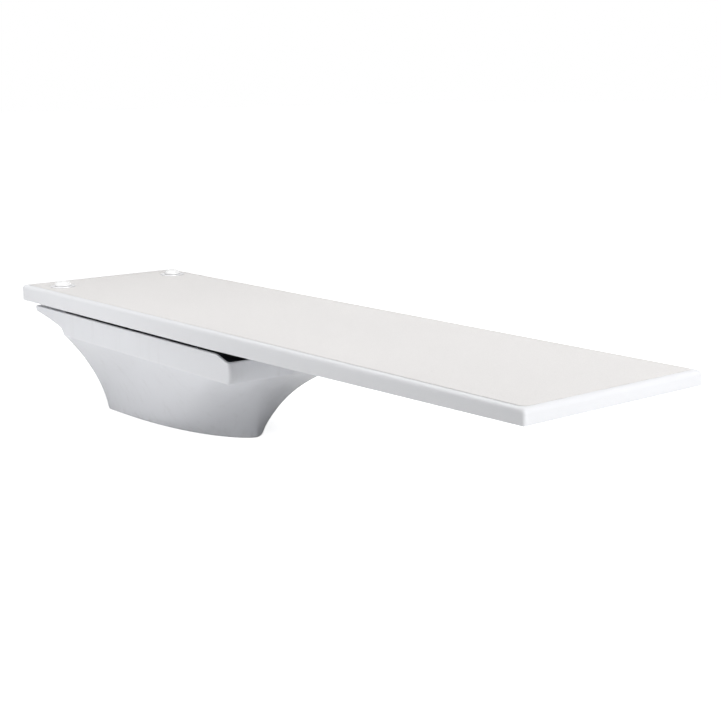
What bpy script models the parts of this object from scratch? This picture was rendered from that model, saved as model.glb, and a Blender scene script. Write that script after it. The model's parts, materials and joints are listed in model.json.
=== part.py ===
"""Diving board on its moulded base, modelled as the separate pieces that it comes apart into.

Metres, +Z up. The origin is on the deck, at the middle of the base's footprint. +X runs along
the board towards its tip and +Y to the diver's left. Run it with
blender --background --python part.py, or from Blender's text editor.
"""

import math

import bmesh
import bpy

# Board: a timber core in a moulded skin, level on top, thinning from the fulcrum to the tip
BOARD_LENGTH = 1.8288
BOARD_WIDTH = 0.4572
BOARD_THICKNESS = 0.040
TIP_THICKNESS = 0.029
TAPER_START = 0.900
BOARD_CORNER_RADIUS = 0.006
BOARD_TOP_RADIUS = 0.010
BOARD_HEEL_RADIUS = 0.004
BOARD_BOTTOM_RADIUS = 0.002
BOARD_LEAST_RADIUS = 0.0005
BOARD_SKIN = 0.004
CORE_END_INSET = 0.012
TREAD_THICKNESS = 0.0008
TREAD_MARGIN = 0.012
TREAD_CORNER_RADIUS = 0.014
TREAD_HOLE_CLEARANCE = 0.0015

# Base: heights above the deck, and where it stands under the board
RIM_HEIGHT = 0.259
BAND_HEIGHT = 0.059
BOARD_GAP = 0.006
HEEL_SETBACK = 0.4925

# Pedestal below the shoulder: a boat-shaped foot that flares up into a near rectangle
FOOT_LENGTH = 0.4997
FOOT_WIDTH = 0.2536
FOOT_EDGE = 0.0045
SHOULDER_RECESS = 0.0024
SHOULDER_TUCK = 0.007
REAR_OVERHANG = 0.0287
FRONT_OVERHANG = 0.2532
FRONT_FILLET = 0.012
SIDE_FLARE = 1.775
FRONT_FLARE = 2.73
REAR_FLARE = 0.602
FOOT_FULLNESS = 2.636
SHOULDER_FULLNESS = 39.3
FULLNESS_RISE = 1.367
FOOT_ROUNDING = 0.633
SHOULDER_ROUNDING = 0.707
FOOT_CORNER_RADIUS = 0.0223
SHOULDER_CORNER_RADIUS = 0.012
PEDESTAL_LEVELS = 12

# Side bands, rim and the tail lip that carries the heel bolts
LIP_LENGTH = 0.1430
LIP_THICKNESS = 0.0135
LIP_ROOT_THICKNESS = 0.033
LIP_ROOT_STEP = 0.0126
LIP_ROOT_RUN = 0.0345
LIP_CLIMB_EASE = 4
LIP_CORNER_RADIUS = 0.010
LIP_EDGE = 0.006
LIP_EDGE_CLIMB = 0.3
BAND_FRONT_STEP = 0.0006
BAND_FRONT_LEAN = 0.008
BAND_CORNER_RADIUS = 0.008
RIM_EDGE = 0.003
RIM_EDGE_BREAK = 0.3
FRONT_DIP = 0.012
FRONT_DIP_RUN = 0.052
SHELL_WALL = 0.007
SHELL_DROP = 0.006
SHELL_FLOOR = 0.010

# Steel frame inside the base
BASE_PLATE_THICKNESS = 0.012
BASE_PLATE_MARGIN = 0.004
RAIL_SIZE = 0.036
RAIL_WALL = 0.003
RAIL_INSET = 0.0686
RAIL_FRONT_X = 0.3275
RAIL_REAR_X = -0.2535
BEAM_WIDTH = 0.040
BEAM_HEIGHT = 0.037
BEAM_WALL = 0.003
REAR_BEAM_X = -0.2135
LEG_SIZE = 0.028
LEG_WALL = 0.003
LEG_FOOT_INSET = 0.0748
REAR_LEG_X = -0.160
FRONT_LEG_X = 0.112
LEG_FLANGE_THICKNESS = 0.006
LEG_FLANGE_WIDTH = 0.036
LEG_FLANGE_REACH = 0.026
LEG_FLANGE_EDGE = 0.002

# Heel fastening
HEEL_BOLT_SETBACK = 0.108
HEEL_BOLT_INSET = 0.0646
HEEL_BOLT_RADIUS = 0.00635
HEEL_BOLT_TAIL = 0.006
BUSHING_WALL = 0.003
BUSHING_CLEARANCE = 0.001
BACKING_BAR_WIDTH = 0.044
BACKING_BAR_THICKNESS = 0.008
BACKING_BAR_OVERRUN = 0.022
POCKET_CLEARANCE = 0.0015
POCKET_ROOF = 0.014
ISOLATOR_RADIUS = 0.022
TOP_WASHER_RADIUS = 0.0315
TOP_WASHER_THICKNESS = 0.003
CAP_RADIUS = 0.0215
CAP_HEIGHT = 0.0118
CAP_WALL = 0.002
CAP_CROWN_ANGLE = 86.4
CAP_ROUNDNESS = 0.7
LOWER_WASHER_RADIUS = 0.016
LOWER_WASHER_THICKNESS = 0.003

# Smaller fasteners and holes
BEAM_BOLT_RADIUS = 0.005
LEG_BOLT_RADIUS = 0.004
BOLT_CHAMFER = 0.001
HOLE_CLEARANCE = 0.0005
HEAD_WIDTH_RATIO = 1.5
HEAD_HEIGHT_RATIO = 1.28
NUT_HEIGHT_RATIO = 1.6
BOLT_TAIL_RATIO = 0.6
ANCHOR_HOLE_RADIUS = 0.009
ANCHOR_SPACING_X = 0.190
ANCHOR_SPACING_Y = 0.140
ANCHOR_CENTRE_X = -0.022
DRAIN_RADIUS = 0.006
DRAIN_INSET = 0.060

# Rubber fulcrum
FULCRUM_PAD_HEIGHT = 0.018
FULCRUM_PAD_BOLT_CLEARANCE = 0.025
FULCRUM_PAD_WIDTH = 0.036
FULCRUM_PAD_CROWN = 0.005

SEAT_GAP = 0.0003
CUT_THROUGH = 0.010
SHARP_ANGLE = 32
ROUND_SIDES = 24
SMALL_SIDES = 18
EDGE_STEPS = 4
PAD_STEPS = 8
CAP_STEPS = 5

# Stretches of half an outline: rear edge, rear corner, side, front corner, nose
REAR_STEPS = 4
REAR_CORNER_STEPS = 6
SIDE_STEPS = 8
FRONT_CORNER_STEPS = 10
NOSE_STEPS = 5
FOOT_EDGE_STEPS = 2
LIP_SIDE_POINTS = 4
BAND_CORNER_STEPS = 3
BAND_FRONT_STEPS = 3
SIDE_END_SHARE = 0.985
NOSE_START_SHARE = 0.35

# Worked out from the sizes above
HALF_WIDTH = BOARD_WIDTH / 2
SHOULDER_HEIGHT = RIM_HEIGHT - BAND_HEIGHT
UNDERSIDE = RIM_HEIGHT + BOARD_GAP
BOARD_TOP = UNDERSIDE + BOARD_THICKNESS
HEEL_X = -HEEL_SETBACK
TIP_X = HEEL_X + BOARD_LENGTH
TAPER_X = HEEL_X + TAPER_START
FOOT_REAR_X = -FOOT_LENGTH / 2
FOOT_NOSE_X = FOOT_LENGTH / 2
SHOULDER_REAR_X = FOOT_REAR_X - REAR_OVERHANG
FRONT_LIMIT_X = FOOT_NOSE_X + FRONT_OVERHANG
BAND_FRONT_X = FRONT_LIMIT_X - FRONT_FILLET + BAND_FRONT_STEP
SHOULDER_HALF = HALF_WIDTH - SHOULDER_RECESS
LIP_END_X = SHOULDER_REAR_X - LIP_LENGTH
LIP_ROOT_X = SHOULDER_REAR_X - LIP_ROOT_STEP
LIP_BEND_X = LIP_ROOT_X + LIP_ROOT_RUN
LIP_ROOT_Z = RIM_HEIGHT - LIP_ROOT_THICKNESS
LIP_END_Z = RIM_HEIGHT - LIP_THICKNESS
RAIL_Y = HALF_WIDTH - RAIL_INSET
BEAM_TOP_Z = UNDERSIDE - FULCRUM_PAD_HEIGHT
BEAM_BASE_Z = BEAM_TOP_Z - BEAM_HEIGHT
RAIL_TOP_Z = BEAM_BASE_Z - SEAT_GAP
RAIL_BASE_Z = RAIL_TOP_Z - RAIL_SIZE
FULCRUM_X = RAIL_FRONT_X - BEAM_WIDTH / 2
BASE_PLATE_Z = SHELL_FLOOR + SEAT_GAP
BASE_PLATE_TOP_Z = BASE_PLATE_Z + BASE_PLATE_THICKNESS
BEAM_BOLT_Y = RAIL_Y
FULCRUM_PAD_HALF = BEAM_BOLT_Y - FULCRUM_PAD_BOLT_CLEARANCE
LEG_FOOT_Y = FOOT_WIDTH / 2 - LEG_FOOT_INSET
HEEL_BOLT_X = HEEL_X + HEEL_BOLT_SETBACK
HEEL_BOLT_Y = HALF_WIDTH - HEEL_BOLT_INSET
BUSHING_BORE = HEEL_BOLT_RADIUS + BUSHING_CLEARANCE
BUSHING_RADIUS = BUSHING_BORE + BUSHING_WALL
BACKING_BAR_TOP = RIM_HEIGHT - POCKET_ROOF - SEAT_GAP
BACKING_BAR_BASE = BACKING_BAR_TOP - BACKING_BAR_THICKNESS
BACKING_BAR_HALF = HEEL_BOLT_Y + BACKING_BAR_OVERRUN
PIVOT_Z = RIM_HEIGHT + BOARD_GAP / 2
SIDES = (("left", 1), ("right", -1))


def clear_scene():
    """Starts from an empty scene, also when it is run again."""
    for obj in list(bpy.data.objects):
        bpy.data.objects.remove(obj, do_unlink=True)


def finish(name, color, roughness, metallic=0.0):
    """A plain Principled material."""
    material = bpy.data.materials.new(name)
    material.use_nodes = True
    shader = material.node_tree.nodes["Principled BSDF"]
    shader.inputs["Base Color"].default_value = (*color, 1)
    shader.inputs["Roughness"].default_value = roughness
    shader.inputs["Metallic"].default_value = metallic
    return material


def gelcoat():
    return finish("gelcoat", (0.80, 0.81, 0.84), 0.32)


def board_skin_finish():
    return finish("board_skin", (0.83, 0.83, 0.85), 0.30)


def tread_finish():
    return finish("tread", (0.84, 0.83, 0.82), 0.75)


def timber():
    return finish("timber", (0.62, 0.44, 0.27), 0.65)


def rubber():
    return finish("rubber", (0.02, 0.02, 0.022), 0.85)


def stainless():
    return finish("stainless", (0.62, 0.62, 0.63), 0.35, 1.0)


def frame_paint():
    return finish("frame_paint", (0.16, 0.17, 0.18), 0.5, 0.3)


def cap_plastic():
    return finish("cap_plastic", (0.84, 0.84, 0.85), 0.35)


def bushing_nylon():
    return finish("bushing_nylon", (0.75, 0.75, 0.72), 0.5)


def empty(name, location):
    obj = bpy.data.objects.new(name, None)
    obj.location = location
    bpy.context.collection.objects.link(obj)
    return obj


def add_mesh(name, points, faces, material=None, parent=None, origin=(0, 0, 0)):
    """A mesh object whose points are given in world space and whose own origin is at origin."""
    mesh = bpy.data.meshes.new(name)
    mesh.from_pydata([tuple(p[i] - origin[i] for i in range(3)) for p in points], [], faces)
    shape = bmesh.new()
    shape.from_mesh(mesh)
    bmesh.ops.recalc_face_normals(shape, faces=shape.faces)
    shape.to_mesh(mesh)
    shape.free()
    mesh.shade_smooth()
    mesh.set_sharp_from_angle(angle=math.radians(SHARP_ANGLE))
    obj = bpy.data.objects.new(name, mesh)
    bpy.context.collection.objects.link(obj)
    if material:
        mesh.materials.append(material)
    if parent:
        obj.parent = parent
        obj.location = tuple(origin[i] - parent.location[i] for i in range(3))
    else:
        obj.location = origin
    return obj


def bridge(rings, closed=False, caps=True):
    """Points and faces of a surface that joins each ring of points to the next."""
    count = len(rings[0])
    points = [point for ring in rings for point in ring]
    pairs = [(i, i + 1) for i in range(len(rings) - 1)]
    if closed:
        pairs.append((len(rings) - 1, 0))
    faces = []
    for a, b in pairs:
        for k in range(count):
            after = (k + 1) % count
            faces.append((a * count + k, a * count + after, b * count + after, b * count + k))
    if caps and not closed:
        faces.append(tuple(range(count)))
        faces.append(tuple(range((len(rings) - 1) * count, len(rings) * count)))
    return points, faces


def sides_for(radius):
    """How many sides stand for a round thread: fewer on the smaller fasteners."""
    return ROUND_SIDES if radius >= HEEL_BOLT_RADIUS else SMALL_SIDES


def around(radius, z, centre=(0.0, 0.0), corners=0, sides=ROUND_SIDES):
    """A level ring about centre: round, or a polygon whose half width across flats is radius."""
    ring = []
    for k in range(sides):
        angle = 2 * math.pi * k / sides
        reach = radius
        if corners:
            step = 2 * math.pi / corners
            reach = radius / math.cos((angle + step / 2) % step - step / 2)
        ring.append((centre[0] + reach * math.cos(angle), centre[1] + reach * math.sin(angle), z))
    return ring


def turned(name, rings, material, parent, origin, hollow=False):
    """A solid of level rings: hollow when the last ring joins the first through a bore."""
    points, faces = bridge(rings, closed=hollow)
    return add_mesh(name, points, faces, material, parent, origin)


def block(name, low, high, material=None, parent=None):
    corners = [(low[0], low[1]), (high[0], low[1]), (high[0], high[1]), (low[0], high[1])]
    rings = [[(x, y, z) for x, y in corners] for z in (low[2], high[2])]
    middle = tuple((low[i] + high[i]) / 2 for i in range(3))
    return add_mesh(name, *bridge(rings), material, parent, middle)


def drill(name, x, y, radius, low, high):
    rings = [around(radius, z, (x, y), sides=sides_for(radius)) for z in (low, high)]
    return turned(name, rings, None, None, (x, y, low))


def cut(obj, cutters):
    """Booleans with cutters that stay in the file as hidden wire shapes."""
    for cutter in cutters:
        cutter.hide_render = True
        cutter.display_type = "WIRE"
        modifier = obj.modifiers.new("cut_" + cutter.name, "BOOLEAN")
        modifier.operation = "DIFFERENCE"
        modifier.solver = "EXACT"
        modifier.object = cutter
    return obj


def quarter(steps):
    """Angles from 0 up to, but not with, a right angle."""
    return [math.pi / 2 * k / steps for k in range(steps)]


def whole(half):
    """A full ring from the half on +Y, which runs from the rear middle to the nose."""
    return half + [(x, -y, z) for x, y, z in reversed(half[1:-1])]


def eased(share):
    """A smooth step from 0 to 1."""
    share = min(max(share, 0.0), 1.0)
    return share * share * (3 - 2 * share)


def filleted(x, limit):
    """The smaller of x and limit, with the corner between them rounded off."""
    return (x + limit - math.hypot(x - limit, 2 * FRONT_FILLET)) / 2


def lower_edge(x):
    """Height at x of the lower edge of the lip and the bands."""
    if x < LIP_ROOT_X:
        return LIP_ROOT_Z + (LIP_END_Z - LIP_ROOT_Z) * (LIP_ROOT_X - x) / (LIP_ROOT_X - LIP_END_X)
    climb = max(0.0, (LIP_BEND_X - x) / LIP_ROOT_RUN)
    return SHOULDER_HEIGHT + (LIP_ROOT_Z - SHOULDER_HEIGHT) * climb


def side_stations(start, bend, end):
    """Where the points along a side lie: one at each end of the lip's bend, then evenly."""
    step = (end - bend) / (SIDE_STEPS - 1)
    return [start] + [bend + step * k for k in range(SIDE_STEPS - 1)]


def pedestal_plan(level, inset):
    """Half the pedestal's outline at a share of the shoulder's height, drawn in by inset."""
    half = FOOT_WIDTH / 2 + (SHOULDER_HALF - FOOT_WIDTH / 2) * level**SIDE_FLARE - inset
    rear = FOOT_REAR_X - REAR_OVERHANG * level**REAR_FLARE + inset
    nose = filleted(FOOT_NOSE_X + FRONT_OVERHANG * level**FRONT_FLARE, FRONT_LIMIT_X) - inset
    rise = level**FULLNESS_RISE
    fullness = FOOT_FULLNESS + (SHOULDER_FULLNESS - FOOT_FULLNESS) * rise
    rounding = FOOT_ROUNDING + (SHOULDER_ROUNDING - FOOT_ROUNDING) * level
    corner = FOOT_CORNER_RADIUS + (SHOULDER_CORNER_RADIUS - FOOT_CORNER_RADIUS) * level
    length = nose - rear

    def width_at(share):
        return half * (1 - share**fullness) ** rounding - SHOULDER_TUCK * level * share

    def share_for(width_share):
        return (1 - width_share ** (1 / rounding)) ** (1 / fullness)

    plan = [(rear, (half - corner) * k / REAR_STEPS) for k in range(REAR_STEPS)]
    for angle in quarter(REAR_CORNER_STEPS):
        x = rear + corner * (1 - math.cos(angle))
        plan.append((x, half - corner * (1 - math.sin(angle))))
    start = corner / length
    bend = (LIP_BEND_X - SHOULDER_REAR_X) / length
    for share in side_stations(start, bend, share_for(SIDE_END_SHARE)):
        plan.append((rear + length * share, width_at(share)))
    first = math.acos(SIDE_END_SHARE ** (0.5 / rounding))
    last = math.acos(NOSE_START_SHARE ** (0.5 / rounding))
    for k in range(FRONT_CORNER_STEPS):
        angle = first + (last - first) * k / FRONT_CORNER_STEPS
        share = math.sin(angle) ** (2 / fullness)
        plan.append((rear + length * share, width_at(share)))
    for k in range(NOSE_STEPS + 1):
        width_share = NOSE_START_SHARE * (1 - k / NOSE_STEPS)
        share = share_for(width_share)
        tuck = SHOULDER_TUCK * level * share * width_share / NOSE_START_SHARE
        plan.append((rear + length * share, half * width_share - tuck))
    return plan


def pedestal_ring(height, inset=0.0, drop=0.0, floor=0.0):
    """A ring of the pedestal's wall, which rises more at the rear, up to the lip's root."""
    climb = ((height - floor) / (SHOULDER_HEIGHT - floor)) ** LIP_CLIMB_EASE
    plan = pedestal_plan((height - drop) / SHOULDER_HEIGHT, inset)
    half = []
    for (x, y), (top_x, _) in zip(plan, pedestal_plan(1.0, inset)):
        half.append((x, y, height + (lower_edge(top_x) - SHOULDER_HEIGHT) * climb))
    return whole(half)


def band_front(front, side_start, half):
    """Half an outline from the band's side round its front corner to the middle of the front."""
    run_start = front - FRONT_DIP_RUN
    corner = BAND_CORNER_RADIUS
    limit = NOSE_START_SHARE * HALF_WIDTH
    plan = [(x, half) for x in side_stations(side_start, LIP_BEND_X, run_start)]
    run_steps = FRONT_CORNER_STEPS - BAND_CORNER_STEPS - BAND_FRONT_STEPS
    for k in range(run_steps):
        plan.append((run_start + (FRONT_DIP_RUN - corner) * k / run_steps, half))
    for angle in quarter(BAND_CORNER_STEPS):
        x = front - corner * (1 - math.sin(angle))
        plan.append((x, half - corner * (1 - math.cos(angle))))
    for k in range(BAND_FRONT_STEPS):
        plan.append((front, half - corner + (limit - half + corner) * k / BAND_FRONT_STEPS))
    for k in range(NOSE_STEPS + 1):
        plan.append((front, limit * (1 - k / NOSE_STEPS)))
    return plan


def front_dip(x, front):
    """How far the rim is lowered at x, towards the front."""
    return FRONT_DIP * eased((x - front + FRONT_DIP_RUN) / FRONT_DIP_RUN)


def band_ring(climb, inset, end_inset):
    """A ring of the lip and bands: climb runs from 0 at their lower edge to 1 at the rim."""
    half = HALF_WIDTH - inset
    front = BAND_FRONT_X - BAND_FRONT_LEAN * climb - inset
    end = LIP_END_X + inset + end_inset
    corner = LIP_CORNER_RADIUS
    bend = SHOULDER_REAR_X + SHOULDER_CORNER_RADIUS
    plan = [(end, (half - corner) * k / REAR_STEPS) for k in range(REAR_STEPS)]
    for angle in quarter(REAR_CORNER_STEPS - LIP_SIDE_POINTS):
        plan.append((end + corner * (1 - math.cos(angle)), half - corner * (1 - math.sin(angle))))
    plan.append((end + corner, half))
    plan.append(((end + corner + LIP_ROOT_X) / 2, half))
    plan.append((LIP_ROOT_X, half))
    plan.append((SHOULDER_REAR_X, half))
    plan += band_front(front, bend, half)
    ring = []
    for x, y in plan:
        low = lower_edge(x) + SEAT_GAP
        ring.append((x, y, low + (RIM_HEIGHT - low - front_dip(x, front)) * climb))
    return whole(ring)


def well_ring(z, front_inset, dip):
    """A ring of the well inside the bands, whose rear is the pedestal's own rear wall."""
    half = HALF_WIDTH - SHELL_WALL
    front = BAND_FRONT_X - front_inset
    rear = SHOULDER_REAR_X + SHELL_WALL
    corner = SHOULDER_CORNER_RADIUS
    plan = [(rear, (half - corner) * k / REAR_STEPS) for k in range(REAR_STEPS)]
    for angle in quarter(REAR_CORNER_STEPS):
        x = rear + corner * (1 - math.cos(angle))
        plan.append((x, half - corner * (1 - math.sin(angle))))
    plan += band_front(front, rear + corner, half)
    level = (RIM_HEIGHT - z) / BAND_HEIGHT
    ring = []
    for (x, y), (top_x, _) in zip(plan, pedestal_plan(1.0, SHELL_WALL)):
        lift = (lower_edge(top_x) - SHOULDER_HEIGHT) * level
        ring.append((x, y, z + lift - dip * front_dip(x, front)))
    return whole(ring)


def stand_shell(parent):
    """The moulded base: foot, flared pedestal, side bands, tail lip, rim and open well."""
    rings = []
    for angle in quarter(FOOT_EDGE_STEPS):
        inset = FOOT_EDGE * (1 - math.sin(angle))
        rings.append(pedestal_ring(FOOT_EDGE * (1 - math.cos(angle)), inset))
    for k in range(PEDESTAL_LEVELS + 1):
        height = FOOT_EDGE + (SHOULDER_HEIGHT - FOOT_EDGE) * k / PEDESTAL_LEVELS
        rings.append(pedestal_ring(height))
    rings.append(band_ring(0, 0, LIP_EDGE))
    rings.append(band_ring(LIP_EDGE_CLIMB, 0, 0))
    edge_share = RIM_EDGE / BAND_HEIGHT
    rings.append(band_ring(1 - edge_share, 0, 0))
    rings.append(band_ring(1 - edge_share * RIM_EDGE_BREAK, RIM_EDGE * RIM_EDGE_BREAK, 0))
    rings.append(band_ring(1, RIM_EDGE, 0))
    rings.append(well_ring(RIM_HEIGHT, BAND_FRONT_LEAN + SHELL_WALL, 1))
    rings.append(well_ring(SHOULDER_HEIGHT + SHELL_WALL, BAND_FRONT_STEP + SHELL_WALL, 0))
    for k in range(PEDESTAL_LEVELS + 1):
        height = SHOULDER_HEIGHT - (SHOULDER_HEIGHT - SHELL_FLOOR) * k / PEDESTAL_LEVELS
        rings.append(pedestal_ring(height, SHELL_WALL, SHELL_DROP, SHELL_FLOOR))
    shell = add_mesh("stand_shell", *bridge(rings), gelcoat(), parent)
    reach = BACKING_BAR_WIDTH / 2 + POCKET_CLEARANCE
    width = BACKING_BAR_HALF + POCKET_CLEARANCE
    low = (HEEL_BOLT_X - reach, -width, SHOULDER_HEIGHT)
    high = (HEEL_BOLT_X + reach, width, BACKING_BAR_TOP + SEAT_GAP)
    cutters = [block("pocket_cutter", low, high)]
    for side, sign in SIDES:
        radius = HEEL_BOLT_RADIUS + HOLE_CLEARANCE
        top = RIM_HEIGHT + CUT_THROUGH
        name = side + "_heel_hole_cutter"
        cutters.append(drill(name, HEEL_BOLT_X, sign * HEEL_BOLT_Y, radius, LIP_ROOT_Z, top))
    cutters += anchor_drills("floor", -CUT_THROUGH, SHELL_FLOOR + CUT_THROUGH / 2)
    drain_x = FOOT_NOSE_X - DRAIN_INSET
    cutters.append(drill("drain_cutter", drain_x, 0, DRAIN_RADIUS, -CUT_THROUGH, 2 * SHELL_FLOOR))
    return cut(shell, cutters)


def anchor_drills(prefix, low, high):
    """Cutters for the four deck anchors."""
    drills = []
    for i, x_sign in enumerate((-1, 1)):
        for side, y_sign in SIDES:
            x = ANCHOR_CENTRE_X + x_sign * ANCHOR_SPACING_X / 2
            y = y_sign * ANCHOR_SPACING_Y / 2
            name = f"{prefix}_anchor_cutter_{side}_{i + 1}"
            drills.append(drill(name, x, y, ANCHOR_HOLE_RADIUS, low, high))
    return drills


def base_plate(parent):
    """The steel plate on the shell's floor that spreads the anchors' load."""
    rings = []
    inset = SHELL_WALL + BASE_PLATE_MARGIN
    for z in (BASE_PLATE_Z, BASE_PLATE_TOP_Z):
        plan = pedestal_plan((SHELL_FLOOR - SHELL_DROP) / SHOULDER_HEIGHT, inset)
        rings.append(whole([(x, y, z) for x, y in plan]))
    plate = add_mesh("base_plate", *bridge(rings), frame_paint(), parent, (0, 0, BASE_PLATE_Z))
    low = BASE_PLATE_Z - CUT_THROUGH
    high = BASE_PLATE_TOP_Z + CUT_THROUGH
    cutters = anchor_drills("plate", low, high)
    for name, x, y in leg_bolt_places():
        radius = LEG_BOLT_RADIUS + SEAT_GAP
        cutters.append(drill(name + "_plate_cutter", x, y, radius, low, high))
    drain_x = FOOT_NOSE_X - DRAIN_INSET
    cutters.append(drill("plate_drain_cutter", drain_x, 0, DRAIN_RADIUS, low, high))
    return cut(plate, cutters)


def square_tube(name, axis, start, end, centre, size, wall, parent):
    """An open square or oblong tube along X or Y: centre and size are across it, width first."""
    def ring(half_width, half_height, along):
        signs = [(-1, -1), (1, -1), (1, 1), (-1, 1)]
        points = []
        for a, b in signs:
            across = centre[0] + a * half_width
            z = centre[1] + b * half_height
            points.append((along, across, z) if axis == "X" else (across, along, z))
        return points

    outer = (size[0] / 2, size[1] / 2)
    inner = (outer[0] - wall, outer[1] - wall)
    rings = [ring(*outer, start), ring(*outer, end), ring(*inner, end), ring(*inner, start)]
    middle = (start + end) / 2
    if axis == "X":
        origin = (middle, centre[0], centre[1])
    else:
        origin = (centre[0], middle, centre[1])
    return add_mesh(name, *bridge(rings, closed=True), frame_paint(), parent, origin)


def rails(parent):
    """The two box-section rails under the bands."""
    made = []
    for side, sign in SIDES:
        centre = (sign * RAIL_Y, (RAIL_BASE_Z + RAIL_TOP_Z) / 2)
        size = (RAIL_SIZE, RAIL_SIZE)
        name = "rail_" + side
        rail = square_tube(name, "X", RAIL_REAR_X, RAIL_FRONT_X, centre, size, RAIL_WALL, parent)
        cutters = []
        for place, x in beam_places():
            radius = BEAM_BOLT_RADIUS + HOLE_CLEARANCE
            low = RAIL_BASE_Z - CUT_THROUGH
            high = RAIL_TOP_Z + CUT_THROUGH
            cutter = drill(f"{name}_{place}_cutter", x, sign * BEAM_BOLT_Y, radius, low, high)
            cutters.append(cutter)
        made.append(cut(rail, cutters))
    return made


def beam_places():
    """Name and X of each beam."""
    return (("front", FULCRUM_X), ("rear", REAR_BEAM_X))


def cross_beams(parent):
    """The fulcrum beam and the rear beam, bolted down across the rails."""
    names = {"front": "fulcrum_beam", "rear": "rear_beam"}
    half_length = RAIL_Y + RAIL_SIZE / 2
    for place, x in beam_places():
        centre = (x, (BEAM_BASE_Z + BEAM_TOP_Z) / 2)
        size = (BEAM_WIDTH, BEAM_HEIGHT)
        name = names[place]
        beam = square_tube(name, "Y", -half_length, half_length, centre, size, BEAM_WALL, parent)
        cutters = []
        for side, sign in SIDES:
            radius = BEAM_BOLT_RADIUS + HOLE_CLEARANCE
            low = BEAM_BASE_Z - CUT_THROUGH
            high = BEAM_TOP_Z + CUT_THROUGH
            cutter = drill(f"{name}_{side}_cutter", x, sign * BEAM_BOLT_Y, radius, low, high)
            cutters.append(cutter)
        cut(beam, cutters)


def leg_places():
    """Name, X and side of each leg."""
    places = []
    for place, x in (("rear", REAR_LEG_X), ("front", FRONT_LEG_X)):
        for side, sign in SIDES:
            places.append((f"{place}_{side}", x, sign))
    return places


def leg_bolt_places():
    """Name, X and Y of the bolt that holds down each leg's flange, inboard of the leg."""
    inboard = LEG_FOOT_Y - LEG_SIZE / 2 - LEG_FLANGE_REACH / 2
    return [("leg_bolt_" + name, x, sign * inboard) for name, x, sign in leg_places()]


def square(x_centre, y_low, y_high, x_half, z):
    """A level oblong ring."""
    low, high = x_centre - x_half, x_centre + x_half
    return [(low, y_low, z), (high, y_low, z), (high, y_high, z), (low, y_high, z)]


def legs(parent):
    """Four box-section legs that splay from the base plate out to the rails."""
    base = BASE_PLATE_TOP_Z + SEAT_GAP
    flange_top = base + LEG_FLANGE_THICKNESS
    top = RAIL_BASE_Z - SEAT_GAP
    half = LEG_SIZE / 2
    bore = half - LEG_WALL
    for (name, x, sign), (bolt, bolt_x, bolt_y) in zip(leg_places(), leg_bolt_places()):
        foot = sign * LEG_FOOT_Y
        head = sign * RAIL_Y
        outboard = foot + sign * (half + LEG_FLANGE_EDGE)
        flange = sorted((outboard, foot - sign * (half + LEG_FLANGE_REACH)))
        rings = [square(x, *flange, LEG_FLANGE_WIDTH / 2, z) for z in (base, flange_top)]
        rings.append(square(x, foot - half, foot + half, half, flange_top))
        rings.append(square(x, head - half, head + half, half, top))
        rings.append(square(x, head - bore, head + bore, bore, top))
        climb = LEG_WALL / (top - flange_top)
        low = foot + (head - foot) * climb
        rings.append(square(x, low - bore, low + bore, bore, flange_top + LEG_WALL))
        origin = (x, foot, base)
        leg = add_mesh("leg_" + name, *bridge(rings), frame_paint(), parent, origin)
        radius = LEG_BOLT_RADIUS + HOLE_CLEARANCE
        high = flange_top + CUT_THROUGH / 2
        cut(leg, [drill(bolt + "_flange_cutter", bolt_x, bolt_y, radius, base - CUT_THROUGH, high)])


def hex_bolt(name, x, y, radius, seat, end, material, parent):
    """A bolt whose head stands on seat and whose shank runs down to end."""
    head = radius * HEAD_WIDTH_RATIO
    head_top = seat + radius * HEAD_HEIGHT_RATIO
    place = (x, y)
    sides = sides_for(radius)
    rings = [around(radius - BOLT_CHAMFER, end, place, sides=sides)]
    rings.append(around(radius, end + BOLT_CHAMFER, place, sides=sides))
    rings.append(around(radius, seat, place, sides=sides))
    rings.append(around(head, seat, place, 6, sides))
    rings.append(around(head, head_top - BOLT_CHAMFER, place, 6, sides))
    rings.append(around(head - BOLT_CHAMFER / 2, head_top, place, sides=sides))
    return turned(name, rings, material, parent, (x, y, seat))


def hex_nut(name, x, y, radius, top, material, parent):
    """A nut whose upper face is at top."""
    bore = radius + SEAT_GAP
    flats = radius * HEAD_WIDTH_RATIO
    base = top - radius * NUT_HEIGHT_RATIO
    place = (x, y)
    sides = sides_for(radius)
    rings = [around(bore, top, place, sides=sides)]
    rings.append(around(flats - BOLT_CHAMFER / 2, top, place, sides=sides))
    rings.append(around(flats, top - BOLT_CHAMFER, place, 6, sides))
    rings.append(around(flats, base, place, 6, sides))
    rings.append(around(bore, base, place, sides=sides))
    return turned(name, rings, material, parent, (x, y, top), hollow=True)


def washer(name, x, y, bore, radius, base, thickness, material, parent):
    place = (x, y)
    top = base + thickness
    edge = thickness / 3
    rings = [around(bore, base, place), around(radius, base, place)]
    rings.append(around(radius, top - edge, place))
    rings.append(around(radius - edge, top, place))
    rings.append(around(bore, top, place))
    return turned(name, rings, material, parent, (x, y, base), hollow=True)


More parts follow.
